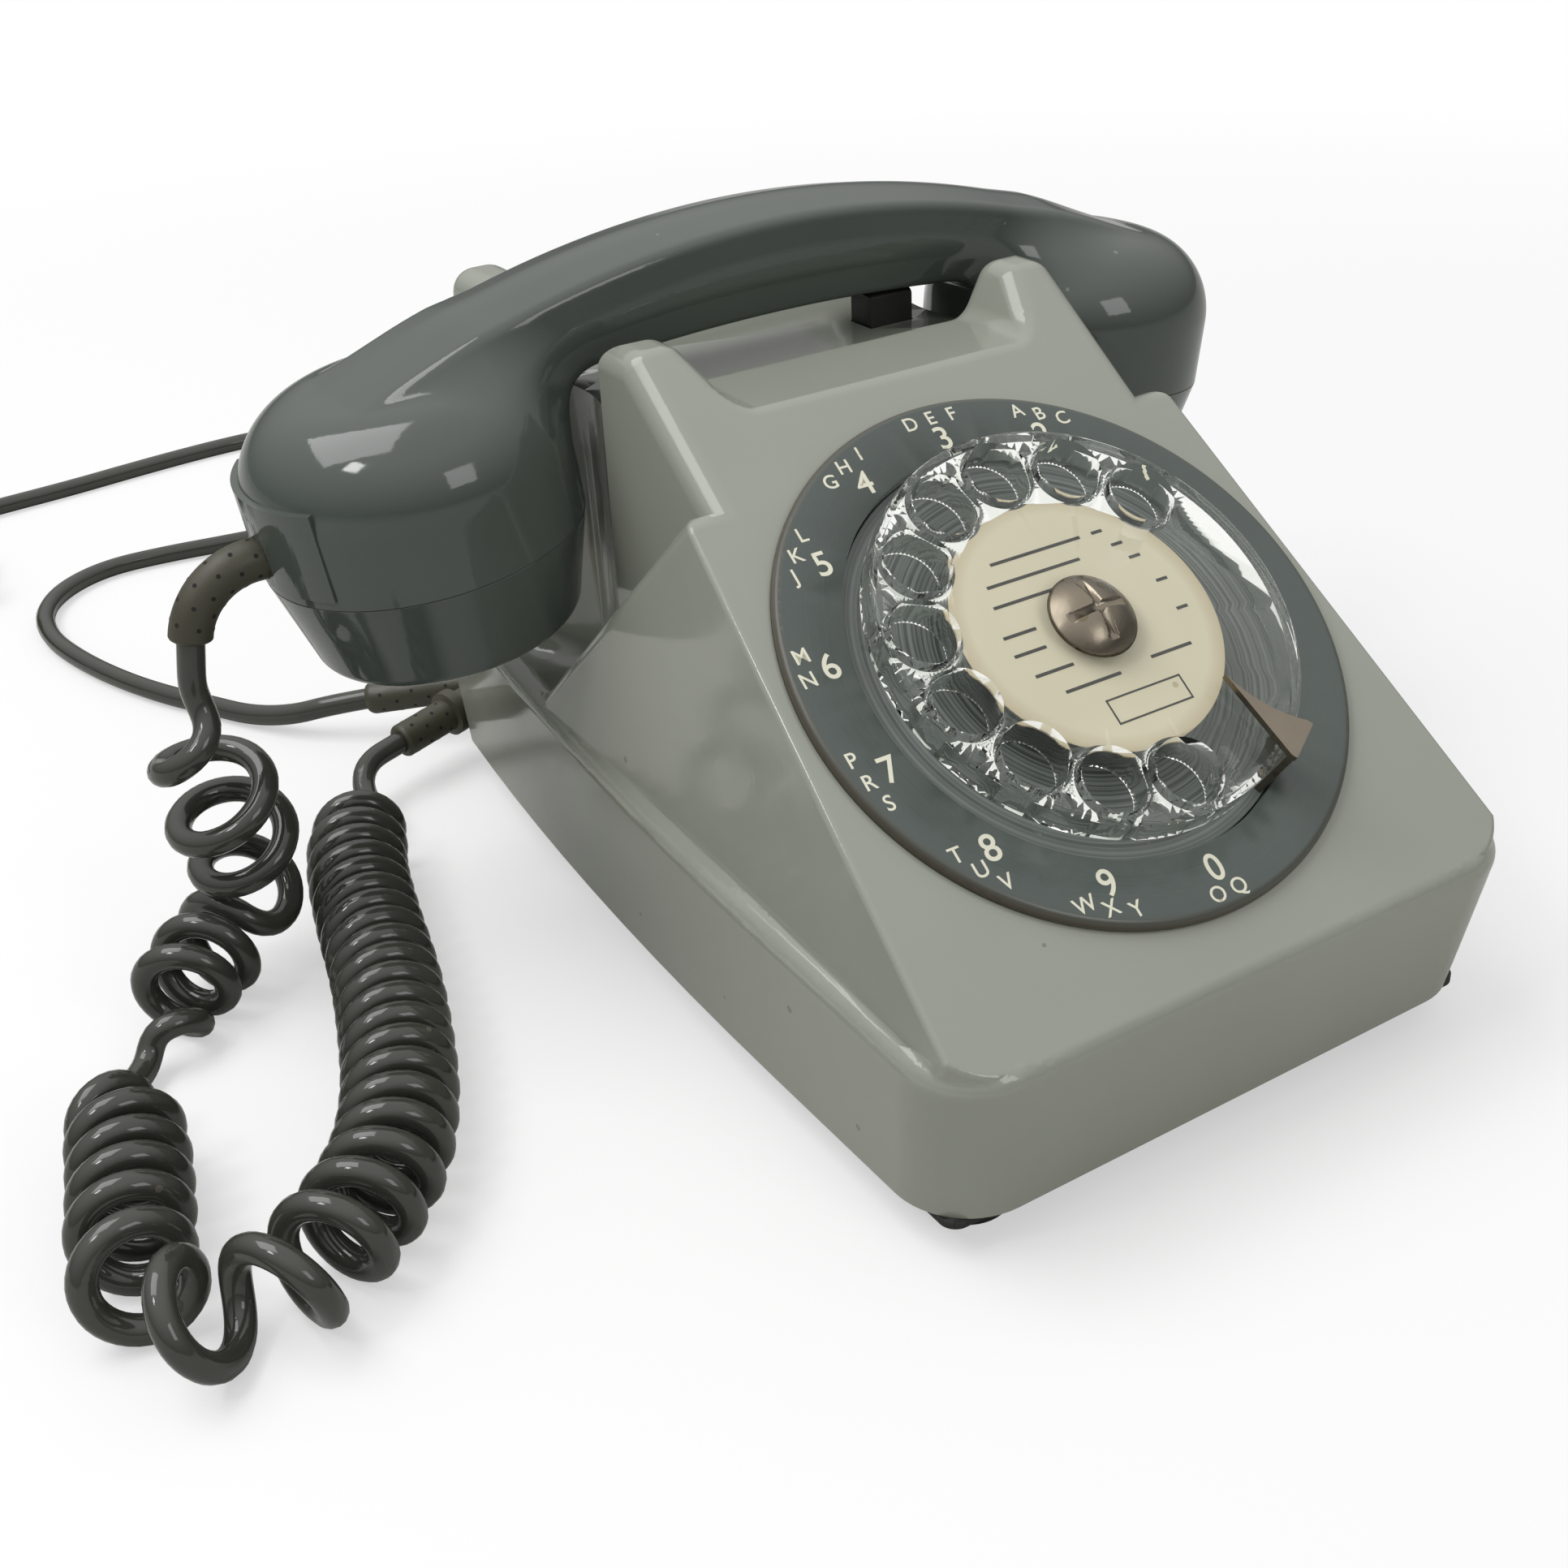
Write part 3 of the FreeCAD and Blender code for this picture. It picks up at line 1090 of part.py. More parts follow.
def make_handset_boot():
    start, bend, middle, end = handset_boot_path()
    inside = start + vec(CORD_PLATE_DEPTH / 2, 0, 0)
    path = Part.Wire([line(inside, bend), Part.Arc(bend, middle, end).toShape()])
    return tube_on(path, inside, bend - inside, BOOT_R)


def make_cord_plate():
    start, bend, _, _ = handset_boot_path()
    inside = start + vec(CORD_PLATE_DEPTH / 2, 0, 0)
    socket = Part.makeCylinder(BOOT_R + RUNNING_FIT, HANDSET_BOOT_STUB * 2, inside, bend - inside)
    return on_bowl(cord_plate_sector(0)).cut(socket)


def tube_on(path, start, along, radius):
    section = Part.Wire(Part.makeCircle(radius, start, along))
    return path.makePipeShell([section], True, False)


def tangent_path(points, radii=None):
    """Straight runs joined by tangent arcs, each as large as its shorter run allows."""
    edges = []
    bends = []
    here = points[0]
    for index in range(1, len(points) - 1):
        corner = points[index]
        back = points[index - 1] - corner
        ahead = points[index + 1] - corner
        turn = math.pi - back.getAngle(ahead)
        if radii is None:
            bend = BEND_SHARE * min(back.Length, ahead.Length) / math.tan(turn / 2)
        else:
            bend = radii[index - 1]
        bends.append(bend)
        reach = bend * math.tan(turn / 2)
        back.normalize()
        ahead.normalize()
        middle = corner + (back + ahead).normalize() * (bend / math.cos(turn / 2) - bend)
        edges.append(line(here, corner + back * reach))
        edges.append(Part.Arc(corner + back * reach, middle, corner + ahead * reach).toShape())
        here = corner + ahead * reach
    edges.append(line(here, points[-1]))
    return Part.Wire(edges), bends


def arc_or_line(start, end, tangent):
    chord = end - start
    sideways = tangent - chord * (tangent.dot(chord) / chord.dot(chord))
    if sideways.Length < 1e-6:
        return line(start, end)
    angle = tangent.getAngle(chord)
    middle = (start + end) * 0.5 + sideways.normalize() * (chord.Length / 2 * math.tan(angle / 2))
    return Part.Arc(start, middle, end).toShape()


def biarc_path(points, tangents):
    """Pairs of tangent arcs through points with given directions."""
    edges = []
    for start, end, start_dir, end_dir in zip(points, points[1:], tangents, tangents[1:]):
        chord = end - start
        both = chord.dot(start_dir + end_dir)
        bend = 2 * (start_dir.dot(end_dir) - 1)
        if abs(bend) < 1e-9:
            reach = chord.dot(chord) / (2 * both)
        else:
            reach = (both - math.sqrt(both * both - bend * chord.dot(chord))) / bend
        knee = (start + start_dir * reach + end - end_dir * reach) * 0.5
        knee_dir = ((end - end_dir * reach) - (start + start_dir * reach)).normalize()
        edges.append(arc_or_line(start, knee, start_dir))
        edges.append(arc_or_line(knee, end, knee_dir))
    return Part.Wire(edges)


def least_gap(points):
    """Least free space between stretches of one cord, measured on points along its middle."""
    thinned = [points[0]]
    lengths = [0.0]
    travelled = 0.0
    for before, here in zip(points, points[1:]):
        travelled += before.distanceToPoint(here)
        if travelled - lengths[-1] > CORD_D / 4:
            thinned.append(here)
            lengths.append(travelled)
    least = REACH
    for index, here in enumerate(thinned):
        for other in range(index + 1, len(thinned)):
            if lengths[other] - lengths[index] > 3 * CORD_D:
                least = min(least, here.distanceToPoint(thinned[other]))
    return least - CORD_D


def route_spline(points):
    curve = Part.BSplineCurve()
    curve.buildFromPoles(points, False, 2)
    return curve


def curly_route():
    """The hand-chosen route, led straight out of the handset boot and into the body boot."""
    end = handset_boot_path()[-1]
    turn = math.radians(HANDSET_BOOT_TURN)
    down = vec(-math.cos(turn), 0, -math.sin(turn))
    into = (vec(*CURLY_BOOT_ELBOW) - vec(*CURLY_BOOT_END)).normalize()
    return end, down, vec(*CURLY_BOOT_END), into


def curly_middle():
    """Middle line of the curly cord as close points, with the turns wound up to each of them."""
    start, down, end, into = curly_route()
    straight = [(start + down * CORD_D, 0.0, CURLY_ROUTE[0][4])]
    finish = [(end - into * CORD_D, 0.0, CURLY_ROUTE[-1][4])]
    chosen = straight + [(vec(x, y, z), radius, pitch) for x, y, z, radius, pitch in CURLY_ROUTE] + finish
    axis = route_spline([point for point, _, _ in chosen])
    curl = route_spline([vec(radius, pitch, 0) for _, radius, pitch in chosen])
    span = axis.LastParameter - axis.FirstParameter
    side = vec(0, 1, 0)
    before = axis.value(axis.FirstParameter)
    turns = 0.0
    points = []
    wound = []
    for step in range(CURLY_STEPS + 1):
        at = axis.FirstParameter + span * step / CURLY_STEPS
        here, along = axis.getD1(at)
        along.normalize()
        side = (side - along * side.dot(along)).normalize()
        shape = curl.value(at)
        turns += here.distanceToPoint(before) / shape.y
        angle = 2 * math.pi * turns
        points.append(here + (side * math.cos(angle) + along.cross(side) * math.sin(angle)) * shape.x)
        wound.append(turns)
        before = here
    return points, wound


def curly_cord():
    """The curly cord as two tubes: the part that hangs from the handset and the part on the floor."""
    start, down, end, into = curly_route()
    points, wound = curly_middle()
    knots = [start, points[0]]
    headings = [down, down]
    quarter = 0
    last = 0
    split = None
    for index in range(1, len(points) - 1):
        new_quarter = int(wound[index] * 4)
        long_step = points[index].distanceToPoint(points[last]) > CURLY_LONGEST_STEP
        if new_quarter > quarter or long_step:
            knots.append(points[index])
            headings.append((points[index + 1] - points[index - 1]).normalize())
            quarter = new_quarter
            last = index
            if split is None and wound[index] >= CURLY_HANGING_TURNS:
                split = len(knots) - 1
    knots += [points[-1], end]
    headings += [into, into]
    print("curly cord: turns", round(wound[-1], 2), "least gap", round(least_gap(points), 2),
          "split at", knots[split], "lowest", round(min(point.z for point in points) - CORD_D / 2, 2))
    tubes = []
    for low, high in ((0, split), (split, len(knots) - 1)):
        path = biarc_path(knots[low:high + 1], headings[low:high + 1])
        tube = tube_on(path, knots[low], headings[low], CORD_D / 2)
        tubes.append(checked_tube(tube, path))
    return tubes


def checked_tube(tube, path):
    expected = math.pi * CORD_D ** 2 / 4 * path.Length
    print("cord tube: length", round(path.Length, 1), "volume ratio", round(tube.Volume / expected, 4))
    return tube


COIL_LOW_Z = CORD_D / 2 + TIE_T + FIT
COIL_HIGH_Z = COIL_LOW_Z + COIL_LAYER
COIL_SPREAD = COIL_TURNS * COIL_STEP / 2
COIL_CENTRE = vec(COIL_CENTRE_X, COIL_START_Y - COIL_MIDDLE_R - COIL_SPREAD, 0)


def coil_point(turn):
    """Point of the put-away coil, which winds inwards, climbs a layer and winds outwards."""
    inner = COIL_MIDDLE_R - COIL_SPREAD
    if turn < COIL_TURNS:
        radius = inner + COIL_STEP * (COIL_TURNS - turn)
        height = COIL_LOW_Z
    elif turn < COIL_TURNS + 0.5:
        radius = inner
        height = COIL_LOW_Z + COIL_LAYER * (1 - math.cos(2 * math.pi * (turn - COIL_TURNS))) / 2
    else:
        radius = inner + COIL_STEP * (turn - COIL_TURNS - 0.5)
        height = COIL_HIGH_Z
    return COIL_CENTRE + polar(radius, 90 + 360 * turn, height)


def coil_heading(turn):
    small = 0.002
    return (coil_point(turn + small) - coil_point(turn - small)).normalize()


def coil_start():
    return coil_point(0) - coil_heading(0) * CORD_D


def coil_end():
    last = 2 * COIL_TURNS + 0.5
    heading = coil_heading(last)
    return coil_point(last) + vec(heading.x, heading.y, 0) * COIL_TAIL, heading


def line_cord():
    points = [vec(*LINE_BOOT_END)] + [vec(*point) for point in LINE_ROUTE] + [coil_start()]
    path, bends = tangent_path(points)
    print("line cord: radii", [round(bend) for bend in bends])
    return checked_tube(tube_on(path, points[0], points[1] - points[0], CORD_D / 2), path)


def line_cord_coil():
    quarters = round((2 * COIL_TURNS + 0.5) * 4)
    turns = [index / 4 for index in range(quarters + 1)]
    end, heading = coil_end()
    knots = [coil_start()] + [coil_point(turn) for turn in turns] + [end]
    headings = [coil_heading(0)] + [coil_heading(turn) for turn in turns] + [heading]
    fine = [coil_point(index / 100) for index in range(quarters * 25 + 1)]
    print("line coil: least gap", round(least_gap(fine), 2))
    path = biarc_path(knots, headings)
    return checked_tube(tube_on(path, knots[0], headings[0], CORD_D / 2), path)


def on_coil_end(shape):
    """Move a shape from the plug's frame, X along the cord, to the end of the coil."""
    end, heading = coil_end()
    angle = math.degrees(math.atan2(heading.y, heading.x))
    placed = shape.copy()
    placed.Placement = Placement(end, Rotation(vec(0, 0, 1), angle)).multiply(shape.Placement)
    return placed


def make_cord_tie():
    """Flat band round all the turns of the coil at one place."""
    inner = COIL_MIDDLE_R - COIL_SPREAD - CORD_D / 2 - FIT
    outer = COIL_MIDDLE_R + COIL_SPREAD + CORD_D / 2 + FIT
    half = TIE_WIDTH / 2
    high = COIL_HIGH_Z + CORD_D / 2 + FIT
    band = box(vec(inner - TIE_T, -half, 0), vec(outer + TIE_T, half, high + TIE_T))
    band = band.cut(box(vec(inner, -half - 1, TIE_T), vec(outer, half + 1, high)))
    band.Placement = Placement(COIL_CENTRE, Rotation(vec(0, 0, 1), TIE_ANGLE))
    return band


def make_line_plug():
    half = PLUG_WIDTH / 2
    plug = box(vec(0, -half, -COIL_HIGH_Z), vec(PLUG_LENGTH, half, COIL_HIGH_Z))
    return on_coil_end(plug.makeFillet(PLUG_EDGE_R, plug.Edges))


def make_plug_blades():
    blades = []
    gap = PLUG_WIDTH / BLADES
    for index in range(BLADES):
        y = (index + 0.5) * gap - PLUG_WIDTH / 2
        blades.append(on_coil_end(box(vec(PLUG_LENGTH, y - BLADE_T / 2, -BLADE_WIDTH / 2),
                                      vec(PLUG_LENGTH + BLADE_LENGTH, y + BLADE_T / 2, BLADE_WIDTH / 2))))
    return Part.makeCompound(blades)


def build():
    hanging_cord, handset_cord = curly_cord()
    plunger = make_plunger()
    mouth_cap = make_cap()
    microphone = make_capsule()
    on_face = {"number_ring": make_number_ring(), "dial_bed": make_dial_bed(),
               "finger_wheel": make_finger_wheel(), "number_card": make_number_card(),
               "centre_screw": make_centre_screw(), "dial_shaft": make_dial_shaft(),
               "finger_stop": make_finger_stop(), "dial_frame": make_dial_frame(),
               "spring_barrel": make_spring_barrel(), "main_gear": make_main_gear(),
               "governor_pinion": make_pinion(), "pulse_cam": make_pulse_cam(),
               "governor_weights": make_governor(), "pulse_contacts": make_pulse_contacts()}
    nodes = {name: on_dial(shape) for name, shape in on_face.items()}
    nodes.update({"housing": make_housing(), "base_plate": make_base_plate(), "rubber_feet": make_feet(),
                  "foot_screws": make_foot_screws()})
    nodes.update({"plunger_left": mirror_x(plunger), "plunger_right": plunger, "hook_bar": make_hook_bar(),
                  "chassis": make_chassis(), "hook_spring": make_hook_spring(),
                  "hook_contacts": make_hook_contacts()})
    nodes.update({"gong_left": make_gong(-1), "gong_right": make_gong(1), "gong_posts": make_gong_posts(),
                  "gong_screws": make_gong_screws(), "ringer_frame": make_ringer_frame(),
                  "ringer_coil": make_ringer_coil(), "clapper": make_clapper(),
                  "transformer": make_transformer(), "capacitor": make_capacitor(),
                  "terminal_block": make_terminal_block(), "terminal_screws": make_terminal_screws()})
    nodes.update({"handset_shell": make_handset_shell(), "mouth_cap": mouth_cap,
                  "ear_cap": mirror_x(mouth_cap), "cord_plate": make_cord_plate(),
                  "handset_boot": make_handset_boot(), "microphone": microphone,
                  "receiver": mirror_x(microphone)})
    nodes.update({"curly_cord_boot": curly_boot(0), "line_cord_boot": line_boot(0),
                  "hanging_cord": hanging_cord, "handset_cord": handset_cord, "line_cord": line_cord(),
                  "line_cord_coil": line_cord_coil(), "cord_tie": make_cord_tie(),
                  "line_plug": make_line_plug(), "plug_blades": make_plug_blades()})
    return nodes


if __name__ == "__main__":
    os.makedirs("parts", exist_ok=True)
    for name, shape in build().items():
        shape.exportStep("parts/" + name + ".step")
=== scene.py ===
import json
import math

import bmesh
import bpy
import numpy as np
from mathutils import Matrix, Vector


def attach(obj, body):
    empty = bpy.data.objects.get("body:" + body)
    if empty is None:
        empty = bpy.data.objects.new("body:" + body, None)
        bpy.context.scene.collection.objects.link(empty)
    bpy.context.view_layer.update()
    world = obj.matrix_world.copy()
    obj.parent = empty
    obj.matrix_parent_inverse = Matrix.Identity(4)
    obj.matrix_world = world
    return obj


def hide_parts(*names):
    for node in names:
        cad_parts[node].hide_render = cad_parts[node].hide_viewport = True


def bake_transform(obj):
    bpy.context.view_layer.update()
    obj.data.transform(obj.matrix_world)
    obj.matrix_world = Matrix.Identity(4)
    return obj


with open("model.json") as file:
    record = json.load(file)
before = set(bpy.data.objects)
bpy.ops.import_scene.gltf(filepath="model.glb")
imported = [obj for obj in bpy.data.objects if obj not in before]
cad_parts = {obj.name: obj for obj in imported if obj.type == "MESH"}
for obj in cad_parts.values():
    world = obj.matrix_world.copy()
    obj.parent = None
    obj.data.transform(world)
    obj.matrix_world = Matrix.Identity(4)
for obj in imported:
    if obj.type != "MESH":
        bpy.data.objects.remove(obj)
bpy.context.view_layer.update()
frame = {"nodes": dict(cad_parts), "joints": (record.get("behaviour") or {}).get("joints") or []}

bl_info = {
    "name": "Rotary desk telephone",
    "version": (1, 0, 0),
    "blender": (4, 5, 0),
    "location": "View3D > Sidebar > Telephone",
    "description": "Builds the looks of a grey rotary desk telephone around its packed solids",
    "category": "Add Mesh",
}

MERGE_ROOM = 1e-6

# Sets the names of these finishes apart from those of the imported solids
FINISH_MARK = "_finish"

# Dial: its own frame has Z out of the sloping face and Y up the face
JOINTS = {joint["name"]: joint for joint in frame["joints"]}
DIAL_CENTRE = Vector(JOINTS["dial_turn"]["pos_m"])
OUT_OF_FACE = -Vector(JOINTS["dial_turn"]["axis"]).normalized()
FACE_TILT = math.atan2(-OUT_OF_FACE.y, OUT_OF_FACE.z)
ON_DIAL = Matrix.Translation(DIAL_CENTRE) @ Matrix.Rotation(FACE_TILT, 4, "X")
RING_TOP = 0.002
CARD_TOP = 0.0078
CARD_SINK = 0.00004
CLEAR_BOUNCES = 2.5
HOLE_STEP = 360.0 / 14.0
TOP_DIGIT = 3
LETTER_STEP = 5.2
LETTERS = {2: "ABC", 3: "DEF", 4: "GHI", 5: "JKL", 6: "MN", 7: "PRS", 8: "TUV", 9: "WXY", 10: "OQ"}
LAST_DIGIT_READ_CLOCKWISE = 5
CAPITAL_SHARE = 0.72
FIGURE_WEIGHT = 0.012

# Ruled lines on the centre card: height, left end, right end
CARD_LINES = (
    (0.0150, -0.0110, 0.0080), (0.0112, -0.0140, 0.0055), (0.0074, -0.0150, 0.0010),
    (0.0018, -0.0165, -0.0098), (-0.0018, -0.0165, -0.0100), (-0.0062, -0.0150, -0.0072),
    (-0.0104, -0.0115, 0.0000), (0.0150, 0.0105, 0.0128), (0.0118, 0.0128, 0.0152),
    (0.0086, 0.0146, 0.0170), (0.0030, 0.0168, 0.0192), (-0.0030, 0.0172, 0.0196),
    (-0.0096, 0.0070, 0.0158))
CARD_LINE_WIDTH = 0.0006
CARD_BOX = (-0.0058, 0.0100, -0.0188, -0.0140)
CARD_BOX_LINE = 0.00035
INK_THICKNESS = 0.00003

# Handset
HANDSET_Y = 0.0424
ARCH_TOP_Z = 0.1328
ARCH_R = 0.200
ARCH_UNDER_Z = 0.1122
ARCH_UNDER_R = 0.420
HANDLE_TOP_HALF = 0.0115
HANDLE_SIDE_HALF = 0.0128
HANDLE_UNDER_HALF = 0.0090
HANDLE_ROOF = 0.0022
HANDLE_SIDE_DROP = 0.0110
HANDLE_END_X = 0.104
HANDLE_EDGE = 0.0016
RIB_START_X = 0.070
RIB_END_X = 0.0985
RIB_RISE = 0.006
BOWL_X = 0.0745
BOWL_SEAM_Z = 0.084
BOWL_TILT = math.radians(7.5)
BOWL_R = 0.030
BOWL_FLARE = 0.0004
BOWL_HEIGHT = 0.030
BOWL_SHOULDER_R = 0.017
BOWL_TUCK = 0.002
SEAM_GAP = 0.00025
CAP_HEIGHT = 0.019
CAP_TAPER = 0.005
CONE_MATCH = 0.01
BLEND_FULL_X = 0.064
BLEND_NONE_X = 0.092
BLEND_LEAST = 0.12
GRID_LOW = (-0.110, -0.034, 0.076)
GRID_HIGH = (0.110, 0.034, 0.136)
GRID_STEP = 0.0007
EVEN_ROUNDS = 5
SETTLE_STEPS = 3
SLOPE_REACH = 1e-5
LEAST_SLOPE = 0.1
CUT_ROOM = 1e-7
HANDSET_SHARP = 40

# Boots
CORD_PLATE_PROUD = 0.0005
HANDSET_BOOT_RISE = 0.007
HANDSET_BOOT_STUB = 0.001
HANDSET_BOOT_BEND_R = 0.014
HANDSET_BOOT_TURN = math.radians(80)
HANDSET_BOOT_BEND_POINTS = 40
CURLY_BOOT_POINTS = (
    (-0.0425, 0.0985, 0.0140), (-0.0440, 0.1062, 0.0138), (-0.0505, 0.10426, 0.01328),
    (-0.0590, 0.10173, 0.0126), (-0.0665, 0.0995, 0.0120))
LINE_BOOT_POINTS = ((-0.0210, 0.0994, 0.0168), (-0.0418, 0.1140, 0.0134), (-0.0625, 0.1285, 0.0100))
BOOT_R = 0.0039
BOOT_ROOT_R = 0.0047
BOOT_MOUTH_R = 0.0033
BOOT_COLLAR_R = 0.0053
BOOT_COLLAR = (0.42, 0.52)
BOOT_MOUTH = 0.025
BOOT_TAPER = 1.4
BOOT_STEPS = 30
BOOT_RINGS = 80
BOOT_SIDES = 40
HOLES_ROUND_BOOT = 6
HOLE_DEPTH = 0.0003
HOLE_SINK = 0.4

# Curly cord: x, y, z, curl radius and pitch of the curls along its middle line
CURLY_ROUTE = (
    (-0.1220, 0.0424, 0.0665, 0.0, 0.030), (-0.1234, 0.0422, 0.0585, 0.003, 0.024),
    (-0.1230, 0.0426, 0.0505, 0.0085, 0.015), (-0.1210, 0.0440, 0.0420, 0.0095, 0.012),
    (-0.1185, 0.0465, 0.0325, 0.009, 0.013), (-0.1170, 0.0495, 0.0225, 0.0085, 0.017),
    (-0.1185, 0.0515, 0.0145, 0.008, 0.020), (-0.1235, 0.0495, 0.0109, 0.00775, 0.013),
    (-0.1295, 0.0445, 0.0106, 0.00775, 0.0075), (-0.1355, 0.0390, 0.0104, 0.00775, 0.0075),
    (-0.1405, 0.0340, 0.0080, 0.006, 0.012), (-0.1450, 0.0290, 0.0042, 0.0015, 0.030),
    (-0.1490, 0.0255, 0.0032, 0.0, 0.060), (-0.1560, 0.0195, 0.0040, 0.0, 0.040),
    (-0.1580, 0.0110, 0.0085, 0.005, 0.014), (-0.1575, 0.0020, 0.0106, 0.00775, 0.0076),
    (-0.1600, -0.0090, 0.0106, 0.00775, 0.0068), (-0.1630, -0.0200, 0.0106, 0.00775, 0.007),
    (-0.1665, -0.0310, 0.0106, 0.00775, 0.011), (-0.1670, -0.0430, 0.0106, 0.00775, 0.017),
    (-0.1570, -0.0510, 0.0106, 0.00775, 0.017), (-0.1450, -0.0485, 0.0106, 0.00775, 0.012),
    (-0.1340, -0.0420, 0.0106, 0.00775, 0.0076), (-0.1240, -0.0325, 0.0106, 0.00775, 0.007),
    (-0.1160, -0.0180, 0.0106, 0.00775, 0.0066), (-0.1105, -0.0030, 0.0106, 0.00775, 0.0064),
    (-0.1045, 0.0160, 0.0106, 0.00775, 0.0064), (-0.0995, 0.0380, 0.0106, 0.00775, 0.0064),
    (-0.0940, 0.0580, 0.0106, 0.00775, 0.0066), (-0.0880, 0.0705, 0.0106, 0.00775, 0.008),
    (-0.0825, 0.0780, 0.0085, 0.0035, 0.016), (-0.0800, 0.0850, 0.0065, 0.0, 0.040),
    (-0.0793, 0.0920, 0.0085, 0.0, 0.060), (-0.0756, 0.0969, 0.0112, 0.0, 0.060))
CURLY_STEPS = 170
CURLY_SPACING = 0.0014
CORD_SIDES = 14

# Line cord and its put-away coil
LINE_ROUTE = (
    (-0.0705, 0.1340, 0.0084), (-0.0780, 0.1405, 0.0054), (-0.0850, 0.1515, 0.0029),
    (-0.0915, 0.1640, 0.0027), (-0.0990, 0.1770, 0.0027), (-0.1060, 0.1940, 0.0027),
    (-0.1110, 0.2120, 0.0027), (-0.1135, 0.2290, 0.0027), (-0.1115, 0.2460, 0.0027),
    (-0.1025, 0.2600, 0.0027), (-0.0880, 0.2680, 0.0027), (-0.0705, 0.2670, 0.0027),
    (-0.0520, 0.2635, 0.0027), (-0.0330, 0.2610, 0.0027), (-0.0110, 0.2625, 0.0027),
    (0.0100, 0.2700, 0.0027), (0.0250, 0.2850, 0.0027), (0.0300, 0.3050, 0.0027),
    (0.0240, 0.3260, 0.0027), (0.0080, 0.3410, 0.0027), (-0.0120, 0.3475, 0.0027),
    (-0.0340, 0.3470, 0.0027), (-0.0560, 0.3445, 0.0027), (-0.0780, 0.3410, 0.0027),
    (-0.1000, 0.3386, 0.0029), (-0.1200, 0.3354, 0.0033), (-0.1370, 0.3364, 0.0037))
LINE_STEPS = 6
LINE_BEVEL_STEPS = 4
COIL_START = (-0.158, 0.336)
COIL_MIDDLE_R = 0.0286
COIL_TURNS = 3.875
COIL_STEP = 0.0063
COIL_LAYER = 0.0063
COIL_LOW_Z = 0.0038
COIL_TAIL = 0.032
COIL_TAIL_SHARES = (0.35, 0.7, 1.0)
COIL_POINTS_PER_TURN = 24

# Camera and studio
IMAGE_SENSOR = 36.0
LENS = 44.815
CLIP_START = 0.01
CAMERA_PLACE = (-0.19402, -0.27858, 0.21944)
CAMERA_AZIMUTH = math.radians(-31.104)
CAMERA_ELEVATION = math.radians(29.843)
CAMERA_ROLL = math.radians(-2.978)
FLOOR_HALF = 6.0
FLOOR_SEEN = (0.93, 0.93, 0.93, 1.0)
FLOOR_BOUNCE = (0.62, 0.62, 0.60, 1.0)

# Lamps: name, place, aim, size and power
LAMPS = (
    ("overhead softbox", (-0.45, 0.30, 1.05), (-0.05, 0.0, 0.08), 0.7, 6.0),
    ("front fill", (0.25, -1.25, 0.75), (0.0, -0.02, 0.06), 0.5, 2.2),
    ("window strip", (-0.75, -0.10, 0.95), (0.0, 0.03, 0.10), 0.18, 1.4),
)

# Sky: its strength low down and overhead, as soft light and in shiny surfaces, and the heights between
SOFT_SKY = (0.24, 0.70)
SHINY_SKY = (0.15, 1.3)
SKY_RISE = (0.05, 0.85)

# Floor: how its own glow grows with the distance from the middle
FLOOR_FADE = (0.2, 0.8)
FLOOR_GLOW = (0.5, 1.0)
WHITE = (1.0, 1.0, 1.0, 1.0)

# Finishes: how rare and strong the specks are, depths of relief, and where the dial's pieces are soiled
SPECK_RARITY = 0.62
SPECK_STRENGTH = 0.55
GRAIN_DEPTH = 0.0002
MARK_DEPTH = 0.0001
RING_DIRT = (0.0505, 0.0521)
CARD_RIM = (0.0215, 0.0248)

INNER_FINISHES = {
    "steel": ("base_plate", "chassis", "hook_spring", "ringer_frame", "clapper", "transformer", "dial_frame",
              "dial_shaft", "spring_barrel"),
    "aged_nickel": ("foot_screws", "gong_posts", "gong_screws", "terminal_screws"),
    "brass": ("gong_left", "gong_right", "main_gear", "governor_pinion", "governor_weights", "pulse_cam"),
    "aluminium": ("capacitor", "microphone", "receiver"),
    "winding": ("ringer_coil",),
    "black_moulding": ("hook_bar", "hook_contacts", "terminal_block", "pulse_contacts"),
}


def srgb(red, green, blue):
    """Linear colour of an eight-bit screen colour."""
    linear = []
    for value in (red, green, blue):
        share = value / 255.0
        linear.append(share / 12.92 if share <= 0.04045 else ((share + 0.055) / 1.055) ** 2.4)
    return tuple(linear)


def colour_property(name, description, default):
    return bpy.props.FloatVectorProperty(
        name=name, description=description, subtype="COLOR", size=3, min=0, max=1, default=srgb(*default))


def length_property(name, description, default):
    return bpy.props.FloatProperty(
        name=name, description=description, unit="LENGTH", subtype="DISTANCE", precision=5, default=default)


class TelephoneColours(bpy.types.PropertyGroup):
    """Colours of the mouldings, cords and printed pieces."""

    body: colour_property("Body", "Pale grey moulding of the housing", (149, 152, 141))
    handset: colour_property("Handset", "Darker grey moulding of the handset", (76, 83, 78))
    dial: colour_property("Dial ring", "Slate grey of the number ring", (72, 80, 76))
    bed: colour_property("Dial bed", "Scuffed plate behind the finger wheel", (108, 114, 111))
    figures: colour_property("Figures", "Cream paint of the digits and letters", (226, 224, 204))
    card: colour_property("Card", "Yellowed centre card", (226, 216, 192))
    ink: colour_property("Ink", "Printing on the card", (38, 36, 32))
    cord: colour_property("Cord", "Sheath of both cords", (60, 61, 55))
    boot: colour_property("Boot", "Olive rubber of the cord boots", (62, 60, 46))
    nickel: colour_property("Nickel", "Aged plating of the screw and stop", (122, 114, 101))


